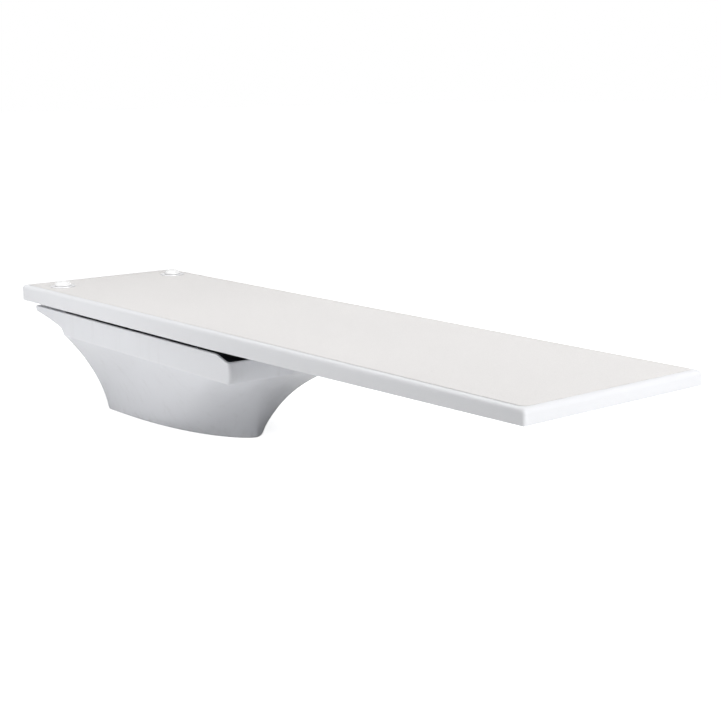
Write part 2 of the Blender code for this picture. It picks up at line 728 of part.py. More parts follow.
def frame_fasteners(parent):
    """Bolts and nuts that hold the beams to the rails and the legs to the base plate."""
    steel = stainless()
    for place, x in beam_places():
        for side, sign in SIDES:
            y = sign * BEAM_BOLT_Y
            nut_top = RAIL_BASE_Z - SEAT_GAP
            end = nut_top - BEAM_BOLT_RADIUS * (NUT_HEIGHT_RATIO + BOLT_TAIL_RATIO)
            name = f"{place}_{side}"
            seat = BEAM_TOP_Z + SEAT_GAP
            hex_bolt("beam_bolt_" + name, x, y, BEAM_BOLT_RADIUS, seat, end, steel, parent)
            hex_nut("beam_nut_" + name, x, y, BEAM_BOLT_RADIUS, nut_top, steel, parent)
    seat = BASE_PLATE_TOP_Z + LEG_FLANGE_THICKNESS + 2 * SEAT_GAP
    end = BASE_PLATE_Z + SEAT_GAP
    for name, x, y in leg_bolt_places():
        hex_bolt(name, x, y, LEG_BOLT_RADIUS, seat, end, steel, parent)


def fulcrum_pad(parent):
    """The crowned rubber strip on the fulcrum beam that the board rests on."""
    base = BEAM_TOP_Z + SEAT_GAP
    top = UNDERSIDE - SEAT_GAP
    half = FULCRUM_PAD_WIDTH / 2
    shoulder = top - FULCRUM_PAD_CROWN
    profile = [(-half, base), (half, base), (half, shoulder)]
    for k in range(1, PAD_STEPS):
        angle = math.pi * k / PAD_STEPS
        profile.append((half * math.cos(angle), shoulder + FULCRUM_PAD_CROWN * math.sin(angle)))
    profile.append((-half, shoulder))
    ends = (-FULCRUM_PAD_HALF, FULCRUM_PAD_HALF)
    rings = [[(FULCRUM_X + x, y, z) for x, z in profile] for y in ends]
    origin = (FULCRUM_X, 0, base)
    return add_mesh("fulcrum_pad", *bridge(rings), rubber(), parent, origin)


def heel_hardware(parent):
    """What clamps the board's heel to the lip: isolators, backing bar, bolts, washers and nuts."""
    steel = stainless()
    low = (HEEL_BOLT_X - BACKING_BAR_WIDTH / 2, -BACKING_BAR_HALF, BACKING_BAR_BASE)
    high = (HEEL_BOLT_X + BACKING_BAR_WIDTH / 2, BACKING_BAR_HALF, BACKING_BAR_TOP)
    bar = block("heel_backing_bar", low, high, frame_paint(), parent)
    cutters = []
    bore = HEEL_BOLT_RADIUS + HOLE_CLEARANCE
    seat = BOARD_TOP + TOP_WASHER_THICKNESS + 2 * SEAT_GAP
    washer_base = BACKING_BAR_BASE - SEAT_GAP - LOWER_WASHER_THICKNESS
    nut_top = washer_base - SEAT_GAP
    end = nut_top - HEEL_BOLT_RADIUS * NUT_HEIGHT_RATIO - HEEL_BOLT_TAIL
    for side, sign in SIDES:
        y = sign * HEEL_BOLT_Y
        place = (HEEL_BOLT_X, y)
        name = side + "_bar_cutter"
        bar_top = BACKING_BAR_TOP + CUT_THROUGH
        cutters.append(drill(name, *place, bore, BACKING_BAR_BASE - CUT_THROUGH, bar_top))
        rings = [around(BUSHING_BORE, RIM_HEIGHT + SEAT_GAP, place)]
        rings.append(around(ISOLATOR_RADIUS, RIM_HEIGHT + SEAT_GAP, place))
        rings.append(around(ISOLATOR_RADIUS, UNDERSIDE - SEAT_GAP, place))
        rings.append(around(BUSHING_BORE, UNDERSIDE - SEAT_GAP, place))
        origin = (*place, RIM_HEIGHT + SEAT_GAP)
        turned("heel_isolator_" + side, rings, rubber(), parent, origin, hollow=True)
        hex_bolt("heel_bolt_" + side, *place, HEEL_BOLT_RADIUS, seat, end, steel, parent)
        lower = (bore, LOWER_WASHER_RADIUS, washer_base, LOWER_WASHER_THICKNESS)
        washer("heel_washer_" + side, *place, *lower, steel, parent)
        hex_nut("heel_nut_" + side, *place, HEEL_BOLT_RADIUS, nut_top, steel, parent)
    cut(bar, cutters)


def underside_at(x):
    """Height of the board's underside at x: level as far as the taper, then rising to the tip."""
    share = max(0.0, (x - TAPER_X) / (TIP_X - TAPER_X))
    return UNDERSIDE + (BOARD_THICKNESS - TIP_THICKNESS) * share


def arc_inset(distance, radius):
    """How far a rounded corner draws in at a distance from the end it rounds off."""
    rest = max(0.0, radius - distance)
    return radius - math.sqrt(radius * radius - rest * rest)


def board_section(x):
    """The board's outline across at x, with rounded edges and rounded ends."""
    end = min(x - HEEL_X, TIP_X - x)
    half = HALF_WIDTH - arc_inset(end, BOARD_CORNER_RADIUS)
    drop = max(arc_inset(x - HEEL_X, BOARD_HEEL_RADIUS), arc_inset(TIP_X - x, BOARD_TOP_RADIUS))
    rise = arc_inset(end, BOARD_BOTTOM_RADIUS)
    top = BOARD_TOP - drop
    low = underside_at(x) + rise
    top_radius = max(BOARD_TOP_RADIUS - drop, BOARD_LEAST_RADIUS)
    bottom_radius = max(BOARD_BOTTOM_RADIUS - rise, BOARD_LEAST_RADIUS)
    ring = []
    for k in range(EDGE_STEPS + 1):
        angle = math.pi / 2 * k / EDGE_STEPS
        y = half - top_radius * (1 - math.sin(angle))
        ring.append((x, y, top - top_radius * (1 - math.cos(angle))))
    for k in range(EDGE_STEPS + 1):
        angle = math.pi / 2 * k / EDGE_STEPS
        y = half - bottom_radius * (1 - math.cos(angle))
        ring.append((x, y, low + bottom_radius * (1 - math.sin(angle))))
    return ring + [(x, -y, z) for _, y, z in reversed(ring)]


def board_stations():
    """Places along the board: close together on its rounded ends, and one where the taper starts."""
    ends = {0.0}
    for radius in (BOARD_TOP_RADIUS, BOARD_CORNER_RADIUS, BOARD_BOTTOM_RADIUS):
        for k in range(1, EDGE_STEPS + 1):
            ends.add(radius * (1 - math.cos(math.pi / 2 * k / EDGE_STEPS)))
    ends = sorted(ends)
    near_heel = [HEEL_X + d for d in ends]
    near_tip = [TIP_X - d for d in reversed(ends)]
    return near_heel + [TAPER_X] + near_tip


def slab(inset, end_inset):
    """Points and faces of the square-edged space inside the board, inset from its outside."""
    rings = []
    for x in (HEEL_X + end_inset, TAPER_X, TIP_X - end_inset):
        half = HALF_WIDTH - inset
        low = underside_at(x) + inset
        high = BOARD_TOP - inset
        rings.append([(x, -half, low), (x, half, low), (x, half, high), (x, -half, high)])
    return bridge(rings)


def heel_drills(prefix, radius):
    """Cutters for the two bolt holes through the board."""
    drills = []
    for side, sign in SIDES:
        low, high = UNDERSIDE - CUT_THROUGH, BOARD_TOP + CUT_THROUGH
        name = f"{prefix}_{side}_cutter"
        drills.append(drill(name, HEEL_BOLT_X, sign * HEEL_BOLT_Y, radius, low, high))
    return drills


def board(pivot):
    """The board itself: moulded skin, timber core and gritty tread."""
    rings = [board_section(x) for x in board_stations()]
    place = tuple(pivot.location)
    skin = add_mesh("board_skin", *bridge(rings), board_skin_finish(), pivot, place)
    hollow = add_mesh("core_cutter", *slab(BOARD_SKIN, CORE_END_INSET))
    cut(skin, [hollow] + heel_drills("skin", BUSHING_RADIUS + SEAT_GAP))
    core_mesh = slab(BOARD_SKIN + SEAT_GAP, CORE_END_INSET + SEAT_GAP)
    core = add_mesh("board_core", *core_mesh, timber(), pivot, place)
    cut(core, heel_drills("core", BUSHING_RADIUS + SEAT_GAP))


def tread(pivot):
    """The thin gritty layer on the board's top, cut away round the two washers."""
    half = HALF_WIDTH - TREAD_MARGIN
    heel = HEEL_X + TREAD_MARGIN
    tip = TIP_X - TREAD_MARGIN
    radius = TREAD_CORNER_RADIUS
    corners = ((tip, half, 0), (heel, half, 1), (heel, -half, 2), (tip, -half, 3))
    plan = []
    for x, y, turn in corners:
        centre_x = x - math.copysign(radius, x)
        centre_y = y - math.copysign(radius, y)
        for k in range(EDGE_STEPS + 1):
            angle = math.pi / 2 * (turn + k / EDGE_STEPS)
            plan.append((centre_x + radius * math.cos(angle), centre_y + radius * math.sin(angle)))
    base = BOARD_TOP + SEAT_GAP
    rings = [[(x, y, z) for x, y in plan] for z in (base, base + TREAD_THICKNESS)]
    place = tuple(pivot.location)
    layer = add_mesh("tread", *bridge(rings), tread_finish(), pivot, place)
    return cut(layer, heel_drills("tread", TOP_WASHER_RADIUS + TREAD_HOLE_CLEARANCE))


def heel_fittings(pivot):
    """What rides on the board round each heel bolt: bushing, broad washer and domed cap."""
    steel = stainless()
    nylon = bushing_nylon()
    plastic = cap_plastic()
    washer_base = BOARD_TOP + SEAT_GAP
    cap_base = washer_base + TOP_WASHER_THICKNESS + SEAT_GAP
    for side, sign in SIDES:
        place = (HEEL_BOLT_X, sign * HEEL_BOLT_Y)
        rings = [around(BUSHING_BORE, UNDERSIDE, place), around(BUSHING_RADIUS, UNDERSIDE, place)]
        rings += [around(BUSHING_RADIUS, BOARD_TOP, place), around(BUSHING_BORE, BOARD_TOP, place)]
        origin = (*place, UNDERSIDE)
        turned("board_bushing_" + side, rings, nylon, pivot, origin, hollow=True)
        broad = (BUSHING_BORE, TOP_WASHER_RADIUS, washer_base, TOP_WASHER_THICKNESS)
        washer("top_washer_" + side, *place, *broad, steel, pivot)
        outer = dome(CAP_RADIUS, CAP_HEIGHT)
        inner = dome(CAP_RADIUS - CAP_WALL, CAP_HEIGHT - CAP_WALL)
        profile = list(reversed(outer)) + inner
        rings = [around(radius, cap_base + height, place) for radius, height in profile]
        turned("bolt_cap_" + side, rings, plastic, pivot, (*place, cap_base))


def dome(radius, height):
    """Radius and height of the rings of a low dome, from its brim up to a small flat crown."""
    rings = []
    for k in range(CAP_STEPS + 1):
        angle = math.radians(CAP_CROWN_ANGLE) * k / CAP_STEPS
        rings.append((radius * math.cos(angle) ** CAP_ROUNDNESS, height * math.sin(angle)))
    return rings


def build():
    clear_scene()
    base = empty("base", (0, 0, 0))
    pivot = empty("board_pivot", (HEEL_BOLT_X, 0, PIVOT_Z))
    stand_shell(base)
    base_plate(base)
    rails(base)
    cross_beams(base)
    legs(base)
    frame_fasteners(base)
    fulcrum_pad(base)
    heel_hardware(base)
    board(pivot)
    tread(pivot)
    heel_fittings(pivot)


build()
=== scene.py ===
"""Looks of a low diving board on its moulded base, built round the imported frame.

Everything is in metres in the frame's own axes: +X towards the board's tip, +Z up, deck at zero.
"""
import json
import math

import bmesh
import bpy
from mathutils import Euler, Matrix, Vector


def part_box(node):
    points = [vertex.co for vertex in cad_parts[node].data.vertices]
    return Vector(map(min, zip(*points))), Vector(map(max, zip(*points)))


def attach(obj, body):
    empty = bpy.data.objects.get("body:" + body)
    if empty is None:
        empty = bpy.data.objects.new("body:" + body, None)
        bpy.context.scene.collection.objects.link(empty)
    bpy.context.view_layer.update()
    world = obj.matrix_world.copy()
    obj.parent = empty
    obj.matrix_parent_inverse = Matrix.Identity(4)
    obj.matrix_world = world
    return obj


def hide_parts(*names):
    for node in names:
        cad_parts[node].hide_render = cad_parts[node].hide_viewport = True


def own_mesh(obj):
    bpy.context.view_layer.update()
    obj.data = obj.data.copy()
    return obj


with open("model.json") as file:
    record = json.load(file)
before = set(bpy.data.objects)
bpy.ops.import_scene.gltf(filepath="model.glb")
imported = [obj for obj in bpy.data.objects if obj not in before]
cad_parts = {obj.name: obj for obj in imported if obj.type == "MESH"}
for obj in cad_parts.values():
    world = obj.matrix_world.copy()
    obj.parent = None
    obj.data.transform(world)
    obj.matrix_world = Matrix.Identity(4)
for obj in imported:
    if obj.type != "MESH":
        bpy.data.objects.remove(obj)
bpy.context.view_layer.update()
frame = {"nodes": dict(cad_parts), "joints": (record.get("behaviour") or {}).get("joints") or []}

bl_info = {
    "name": "Diving stand looks",
    "version": (1, 0, 0),
    "blender": (4, 5, 0),
    "location": "3D View > Sidebar > Diving stand",
    "description": "Models the surfaces, finishes and studio of a diving board on its moulded base",
    "category": "Object",
}

# Places read from the frame
BOARD_LOW, BOARD_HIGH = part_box("board_skin")
SHELL_LOW, SHELL_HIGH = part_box("stand_shell")
TREAD_LOW, TREAD_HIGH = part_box("tread")
CORE_LOW, CORE_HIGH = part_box("board_core")
PAD_LOW, PAD_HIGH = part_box("fulcrum_pad")
BAR_LOW, BAR_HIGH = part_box("heel_backing_bar")
ROCK = frame["joints"][0]
HALF_WIDTH = BOARD_HIGH.y
SIDES = (("left", 1), ("right", -1))
SQUARE = ((-1, -1), (1, -1), (1, 1), (-1, 1))

# The sizes of the solids that their boxes don't tell, in metres
SEAT_GAP = 0.0003  # between pieces that seat on each other
HEEL_SHANK = 0.00635  # radius of the heel bolts
BEAM_SHANK = 0.005  # radius of the beam bolts
LEG_SHANK = 0.004  # radius of the leg bolts
LIP_BORE = 0.00685  # radius of the bolt holes in the lip and in the lower washers
HEEL_BORE = 0.00735  # radius of the holes in the top washers and the isolators
ANCHOR_BORE = 0.009  # radius of the anchor holes
ANCHOR_SETBACK = 0.022  # from the plate's middle back to the middle of the anchors
ANCHOR_ALONG = 0.095  # from there to an anchor, along the board
ANCHOR_ACROSS = 0.070  # from there to an anchor, across the board
DRAIN_BORE = 0.006  # radius of the drain hole
DRAIN_SETBACK = 0.060  # from the foot's nose back to the drain hole
LEG_FOOT_OFFSET = 0.027  # from a leg's bolt to the middle of the leg's lower end

# Small sizes of the looks alone, in metres
WELD_HALF = 0.0145  # from a leg's middle to its weld beads
RAIL_WELD_DROP = 0.0004  # from the rail's underside down to the upper bead
FLANGE_WELD_RISE = 0.0062  # from the leg's lowest level up to the lower bead
BRIM_HEIGHT = 0.0006  # height of the caps' upright brim
BRIM_BEVEL = 0.0004  # how far the brim is drawn in below
SECTION_STEP = 0.15  # between the board's sections before its taper
MERGE = 1e-6  # points closer than this become one

# Levels that the cutters reach, clear of what they cut, in metres
FLOOR_CUT_LOW = -0.01
ANCHOR_CUT_TOP = 0.015
DRAIN_CUT_TOP = 0.02
LIP_CUT_TOP = 0.27
TREAD_CUT_LOW = 0.30
TREAD_CUT_TOP = 0.31
BUSHING_CUT_OVER = 0.01  # how far past a bushing's ends its cutter goes

# Hex heads and nuts as shares of the shank's radius, and how finely they are drawn
HEX_FLATS = 1.5  # half width across flats
HEX_HEAD = 1.28  # height of a head
HEX_SIDES = 48  # points in each ring
THREAD_RINGS = 6  # rings to each turn of the thread

# Edges that bend by more than these degrees stay sharp
PLAIN_SHARP = 38.0
MOULDED_SHARP = 34.0
HEX_SHARP = 30.0
DOMED_SHARP = 50.0

# One turn in radians, as the random turns of grains and copies take it
FULL_TURN = 6.28

# Colours of dirt and wear, and the brightest share of light that a finish gives back
RUST = (0.30, 0.27, 0.23, 1)
DUST = (0.34, 0.32, 0.29, 1)
BLOOM = (0.06, 0.06, 0.058, 1)
WHITEST = 0.95

# The studio's floor and camera, in metres
FLOOR_REACH = 40.0  # from the middle to the floor's edges
FLOOR_DROP = 0.0005  # how far the floor lies below the deck's level
FLOOR_MIDDLE = 0.3  # the middle, along X, of where the floor keeps its shadows
SHADOWS_FADE = 1.1  # from there to where they start to fade
SHADOWS_END = 2.6  # from there to where they have faded
EYE_BEYOND_HEEL = 3.2717  # the camera along X, from the board's heel
EYE_ASIDE = -1.7189  # the camera along Y
EYE_HEIGHT = 0.8117  # the camera above the deck

# Each light's name, place, aim, width and height, in metres
LIGHTS = (
    ("overhead_softbox", (0.15, 0.1, 2.4), (0.2, 0.0, 0.20), 3.0, 2.2),
    ("heel_softbox", (-1.2, -1.2, 2.2), (0.0, 0.0, 0.2), 1.4, 1.4),
    ("tip_softbox", (4.2, 0.45, 1.95), (0.9, 0.0, 0.25), 1.6, 1.4),
    ("side_softbox", (-0.75, -1.75, 0.5), (0.0, 0.0, 0.12), 1.0, 0.8),
    ("fill_softbox", (1.0, -2.8, 0.25), (0.3, 0.0, 0.1), 1.2, 0.4),
    ("front_card", (0.44, -0.12, 0.008), (0.36, -0.09, 1.0), 0.24, 0.45),
    ("side_card", (-0.13, -0.48, 0.008), (-0.13, -0.40, 1.0), 0.68, 0.34),
)


def centre(node):
    """The middle of a CAD node's box."""
    low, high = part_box(node)
    return (low + high) / 2


HEEL_BOLT = centre("heel_bolt_left")


# Settings that a user would change

def length(name, description, default, smallest=0.0):
    """A size in metres."""
    return bpy.props.FloatProperty(
        name=name, description=description, default=default, min=smallest, precision=4, unit="LENGTH")


def share(name, description, default, largest=100.0):
    """A plain number."""
    return bpy.props.FloatProperty(name=name, description=description, default=default, min=0, max=largest)


def colour(name, description, default):
    """A colour in linear light."""
    return bpy.props.FloatVectorProperty(
        name=name, description=description, default=default, size=3, min=0, max=1, subtype="COLOR")


class PedestalSizes(bpy.types.PropertyGroup):
    """The moulded base below its bands"""
    foot_length: length("Foot length", "Length of the foot on the deck", 0.4997)
    foot_width: length("Foot width", "Width of the foot at its widest", 0.2536)
    foot_edge: length("Foot edge", "Radius of the foot's bottom edge", 0.0045)
    band_height: length("Band height", "Height of the side bands up to the rim", 0.059)
    recess: length("Recess", "How far the body lies inside the bands", 0.0024)
    tuck: length("Tuck", "How much further in the body lies at the nose", 0.007)
    rear_overhang: length("Rear overhang", "How far the rear wall leans out", 0.0287)
    front_fillet: length("Front fillet", "Rounding where the nose meets the bands", 0.012)
    front_step: length("Front step", "How far the nose lies behind the front of the bands", 0.0057)
    side_flare: share("Side flare", "How late the sides curve outwards", 1.775)
    front_flare: share("Front flare", "How late the nose curves outwards", 2.73)
    rear_flare: share("Rear flare", "How late the rear wall leans outwards", 0.602)
    foot_fullness: share("Foot fullness", "Squareness of the foot's outline", 2.636)
    top_fullness: share("Top fullness", "Squareness of the outline under the bands", 39.3)
    fullness_rise: share("Fullness rise", "How late the outline turns square", 1.367)
    foot_rounding: share("Foot rounding", "Roundness of the foot's nose", 0.633)
    top_rounding: share("Top rounding", "Roundness of the nose under the bands", 0.707)
    foot_corner: length("Foot rear corners", "Radius of the foot's rear corners", 0.0223)
    top_corner: length("Top rear corners", "Radius of the rear corners under the bands", 0.012)
    wall: length("Wall", "Thickness of the moulding", 0.007)
    floor: length("Floor", "Thickness of the moulding's floor", 0.010)
    drop: length("Inner drop", "How much lower the inner wall's form lies", 0.006)


class BandSizes(bpy.types.PropertyGroup):
    """The side bands, the lip under the heel and the rim"""
    lip_root_step: length("Lip root", "From the rear wall back to where the lip starts", 0.0050)
    lip_root_run: length("Lip bend", "Length of the bend between lip and bands", 0.0220)
    lip_root_depth: length("Lip root depth", "Thickness of the lip where it starts", 0.031)
    lip_end_depth: length("Lip end depth", "Thickness of the lip at its end", 0.0120)
    lip_corner: length("Lip corners", "Radius of the lip's corners", 0.010)
    lip_edge: length("Lip edge", "How far the lip's lower end is rounded back", 0.006)
    lip_ease: share("Lip climb", "How late the rear wall rises to the lip", 4.0)
    front_lean: length("Front lean", "How far the front lies back at the rim", 0.006)
    front_set: length("Front set", "How far the front lies back at the bands' lower edge", 0.005)
    front_corner: length("Front corners", "Radius of the bands' front corners", 0.008)
    rim_edge: length("Rim edge", "Radius of the rim's outer edge", 0.003)
    under_edge: length("Under edge", "Radius of the bands' lower edge", 0.0012)
    dip: length("Front dip", "How far the rim is lowered at the front", 0.012)
    dip_run: length("Dip run", "Length over which the rim comes down", 0.052)
    pocket_clearance: length("Pocket clearance", "Room round the backing bar in its pocket", 0.0015)


class BoardSizes(bpy.types.PropertyGroup):
    """The board and its tread"""
    tip_thickness: length("Tip thickness", "Thickness of the board at its tip", 0.029)
    taper_start: length("Taper start", "From the heel to where the board starts to thin", 0.900)
    corner: length("Corners", "Radius of the corners seen from above", 0.006)
    top_edge: length("Top edge", "Radius of the upper edge", 0.010)
    heel_edge: length("Heel edge", "Radius of the upper edge across the heel", 0.004)
    bottom_edge: length("Bottom edge", "Radius of the lower edge", 0.002)
    least_edge: length("Least edge", "Radius left at the very ends", 0.0005)
    tread_corner: length("Tread corners", "Radius of the tread's corners", 0.014)
    tread_edge: length("Tread edge", "How far the tread's edge is rounded off", 0.0006)
    tread_clearance: length("Tread clearance", "Room round the washers", 0.0015)
    grit_density: share("Grit density", "Coarse grains on each square metre of tread", 9000.0, 20000.0)
    grit_size: length("Grit size", "Width of a coarse grain", 0.0013)
    grit_seed: bpy.props.IntProperty(
        name="Grit seed", description="Changes where the grains fall", default=7)


class HardwareSizes(bpy.types.PropertyGroup):
    """Caps, fasteners, welds and rubber"""
    cap_radius: length("Cap radius", "Radius of the domed caps", 0.0215)
    cap_wall: length("Cap wall", "Thickness of the caps", 0.002)
    thread_pitch: length("Thread pitch", "Distance between two threads", 0.0015, 0.0005)
    thread_depth: length("Thread depth", "Depth of the threads", 0.0007)
    head_chamfer: length("Head chamfer", "Chamfer on bolt heads and nuts", 0.0011)
    weld_width: length("Weld width", "Width of a weld bead", 0.0042)
    weld_pitch: length("Weld pitch", "Distance between two weld ripples", 0.0022, 0.0005)
    pad_groove: length("Pad groove", "Depth of the grooves along the fulcrum pad", 0.0012)


class FinishColours(bpy.types.PropertyGroup):
    """Base colours of the finishes"""
    gelcoat: colour("Gelcoat", "The moulded base", (0.775, 0.785, 0.815))
    board: colour("Board", "The board's moulded skin", (0.80, 0.807, 0.83))
    tread: colour("Tread", "The board's gritty top", (0.832, 0.815, 0.806))
    cap: colour("Caps", "The domed bolt caps", (0.87, 0.87, 0.87))
    steel: colour("Steel", "Washers, bolts and nuts", (0.66, 0.66, 0.67))
    paint: colour("Frame paint", "The steel frame inside", (0.05, 0.053, 0.058))
    rubber: colour("Rubber", "Fulcrum pad and heel isolators", (0.018, 0.018, 0.019))
    nylon: colour("Nylon", "Bushings in the board", (0.70, 0.69, 0.64))
    timber: colour("Timber", "The board's core", (0.55, 0.36, 0.20))
    # This colour darkens the gelcoat's streaks, and low on the base it carries deck dust mixed with
    # painted contact shade.
    grime_and_shade: colour("Grime", "Deck dust low on the base", (0.42, 0.40, 0.37))


class StudioSettings(bpy.types.PropertyGroup):
    """The camera, the lights and the floor"""
    focal: share("Focal length", "Lens in millimetres", 66.85)
    azimuth: share("Azimuth", "Degrees round the object", 51.22, 360)
    elevation: share("Elevation", "Degrees above the deck", 11.66, 90)
    roll: bpy.props.FloatProperty(name="Roll", description="Degrees of camera roll", default=-0.58)
    ambient: share("Ambient", "Light from all round", 0.0)
    overhead: share("Overhead", "Watts of the large light above", 45.0)
    heel: share("Heel", "Watts of the light above the near side of the heel", 8.5)
    tip: share("Tip", "Watts of the light high beyond the tip", 103.0)
    side: share("Side", "Watts of the light low beside the base", 8.6)
    fill: share("Fill", "Watts of the low light well out on the near side", 11.0)
    front_card: share("Front card", "Watts thrown up from the deck under the nose", 0.23)
    side_card: share("Side card", "Watts thrown up along the near side of the base", 0.36)
    floor_tone: share("Floor tone", "How much of the light the floor gives back", 0.92, 1.0)
    floor_glow: share("Floor glow", "Brightness that the camera sees in the floor's shadows", 0.80, 1.0)


def settings(name):
    """The settings group of that name on the scene."""
    return getattr(bpy.context.scene, "stand_" + name)


# Node trees, written as expressions

class Signal:
    """An output socket. Python's operators on it add Math nodes."""

    def __init__(self, graph, socket):
        self.graph = graph
        self.socket = socket

    def math(self, operation, *others):
        return self.graph.math(operation, self, *others)

    def __add__(self, other):
        return self.math("ADD", other)

    def __radd__(self, other):
        return self.graph.math("ADD", other, self)

    def __sub__(self, other):
        return self.math("SUBTRACT", other)

    def __mul__(self, other):
        return self.math("MULTIPLY", other)

    def __rmul__(self, other):
        return self.graph.math("MULTIPLY", other, self)

    def __abs__(self):
        return self.math("ABSOLUTE")


class Graph:
    """Adds nodes to a shader or geometry tree."""

    def __init__(self, tree):
        self.tree = tree

    def feed(self, socket, value):
        """Links a signal to the socket, or sets the socket to a plain value."""
        if isinstance(value, Signal):
            self.tree.links.new(value.socket, socket)
        else:
            socket.default_value = value

    def node(self, kind, options=None, inputs=None, output=0):
        """A node of that type: its options first, then its sockets, and one of its outputs."""
        node = self.tree.nodes.new(kind)
        for name, value in (options or {}).items():
            setattr(node, name, value)
        for name, value in (inputs or {}).items():
            self.feed(node.inputs[name], value)
        return Signal(self, node.outputs[output])

    def math(self, operation, *values):
        return self.node("ShaderNodeMath", {"operation": operation}, dict(enumerate(values)))

    def vector(self, operation, *values):
        return self.node("ShaderNodeVectorMath", {"operation": operation}, dict(enumerate(values)))

    def mix(self, factor, first, second):
        """One colour over another."""
        return self.node("ShaderNodeMix", {"data_type": "RGBA"}, {0: factor, 6: first, 7: second}, 2)

    def remap(self, value, low, high, start=0.0, end=1.0):
        """value between low and high becomes start to end, and stays within them."""
        return self.node(
            "ShaderNodeMapRange", {"interpolation_type": "SMOOTHSTEP"},
            {0: value, 1: low, 2: high, 3: start, 4: end})

    def noise(self, place, scale, detail=2.0, roughness=0.5):
        return self.node(
            "ShaderNodeTexNoise", None,
            {"Vector": place, "Scale": scale, "Detail": detail, "Roughness": roughness})

    def bump(self, height, distance, strength=1.0, normal=None):
        """A bump of that height in metres, over another one where normal gives it."""
        inputs = {"Height": height, "Distance": distance, "Strength": strength}
        if normal:
            inputs["Normal"] = normal
        return self.node("ShaderNodeBump", None, inputs)


def rgba(tone):
    """A colour with full opacity."""
    return (*tone, 1)


class Finish:
    """A Principled material in one colour, whose patterns read Object coordinates."""

    def __init__(self, name, tone=(1, 1, 1)):
        self.material = bpy.data.materials.new(name)
        self.material.use_nodes = True
        self.tone = tone
        tree = self.material.node_tree
        self.graph = Graph(tree)
        self.shader = tree.nodes["Principled BSDF"]
        self.place = self.graph.node("ShaderNodeTexCoord", output=3)
        self.axes = self.graph.node("ShaderNodeSeparateXYZ", None, {0: self.place}).socket.node

    def axis(self, letter):
        return Signal(self.graph, self.axes.outputs[letter])

    def noise(self, scale, detail=2.0, roughness=0.5):
        """Noise over the piece, of one scale or of a scale for each axis."""
        if not isinstance(scale, tuple):
            return self.graph.noise(self.place, scale, detail, roughness)
        return self.graph.noise(self.graph.vector("MULTIPLY", self.place, scale), 1.0, detail, roughness)

    def cells(self, scale, feature="F1"):
        return self.graph.node(
            "ShaderNodeTexVoronoi", {"feature": feature}, {"Vector": self.place, "Scale": scale})

    def shade(self, factor=1.0):
        """The finish's colour made lighter or darker, kept below white."""
        return rgba(min(WHITEST, value * factor) for value in self.tone)

    def blend(self, factor, first, second):
        """The finish's colour between two shades of it."""
        return self.graph.mix(factor, self.shade(first), self.shade(second))

    def set(self, **sockets):
        """The material, with those sockets of its shader fed."""
        for name, value in sockets.items():
            label = name.replace("_", " ").title().replace("Ior", "IOR")
            self.graph.feed(self.shader.inputs[label], value)
        return self.material


def gelcoat():
    """Gloss gelcoat: soft unevenness of the moulding, faint streaks, and deck dust mixed with painted
    contact shade near the foot.
    """
    finish = Finish("gelcoat_white", settings("colours").gelcoat)
    graph = finish.graph
    grime_and_shade = rgba(settings("colours").grime_and_shade)
    streaks = finish.noise((46.0, 46.0, 3.0), 3.0, 0.6)
    fine = finish.noise(1500.0, 1.0)
    dust = finish.noise(55.0, 5.0, 0.65)
    # Darker over the lowest 30 mm: patchy deck dust mixed with painted contact shade.
    low = graph.remap(finish.axis("Z"), 0.0, 0.030, 1.0, 0.0)
    base = finish.blend(finish.noise(3.2, 3.0), 0.985, 1.015)
    washed = graph.mix(graph.remap(streaks, 0.52, 0.78, 0.0, 0.10), base, grime_and_shade)
    dust_and_contact_shade = graph.remap(dust, 0.42, 0.72) * low * 0.28
    peeled = graph.bump(finish.noise(210.0), 0.00022, 0.45)
    return finish.set(
        # Base colour darkened by the streaks, then by the dust and painted contact shade near the foot.
        base_color=graph.mix(dust_and_contact_shade, washed, grime_and_shade),
        roughness=0.27 + 0.12 * streaks + 0.25 * dust_and_contact_shade + 0.05 * fine,
        normal=graph.bump(fine, 0.00003, 0.3, peeled),
        coat_weight=0.25, coat_roughness=0.12)


def board_moulding():
    """The board's satin skin, with the fine leathery texture of a sprayed mould."""
    finish = Finish("board_white", settings("colours").board)
    graph = finish.graph
    texture = finish.cells(620.0, "SMOOTH_F1")
    fine = finish.noise(1400.0)
    rubbed = graph.remap(finish.noise((14.0, 90.0, 90.0), 6.0, 0.7), 0.62, 0.80, 0.0, 0.16)
    base = finish.blend(finish.noise((1.6, 5.0, 5.0), 3.0), 0.99, 1.012)
    return finish.set(
        base_color=graph.mix(rubbed, base, finish.shade(0.90)),
        roughness=0.44 + 0.10 * fine + 0.25 * rubbed,
        normal=graph.bump(fine, 0.00004, 0.3, graph.bump(texture, 0.00012, 0.35)),
        coat_weight=0.05, coat_roughness=0.3)


def tread_coat():
    """White non-slip coat: packed grit in paint, with painted shade in the hollows between the grains."""
    finish = Finish("tread_grit", settings("colours").tread)
    graph = finish.graph
    grains = finish.cells(780.0)
    small = finish.cells(1700.0)
    clumps = finish.noise(130.0, 4.0, 0.6)
    # Painted shade: the coat is darkened in the hollows between the grains.
    hollow_shade = graph.remap(grains, 0.30, 0.75)
    base = finish.blend(finish.noise((2.2, 5.0, 5.0), 3.0), 0.975, 1.01)
    lane = graph.remap(abs(finish.axis("Y")), 0.05, 0.16, 0.05, 0.0)
    worn = graph.mix(lane * clumps, base, finish.shade(0.80))
    relief = graph.bump(grains * -1.0, 0.00055, 0.7)
    return finish.set(
        base_color=graph.mix(hollow_shade * 0.16, worn, finish.shade(0.62)),
        roughness=0.66 + 0.20 * clumps,
        normal=graph.bump(small * -1.0, 0.00022, 0.6, relief))


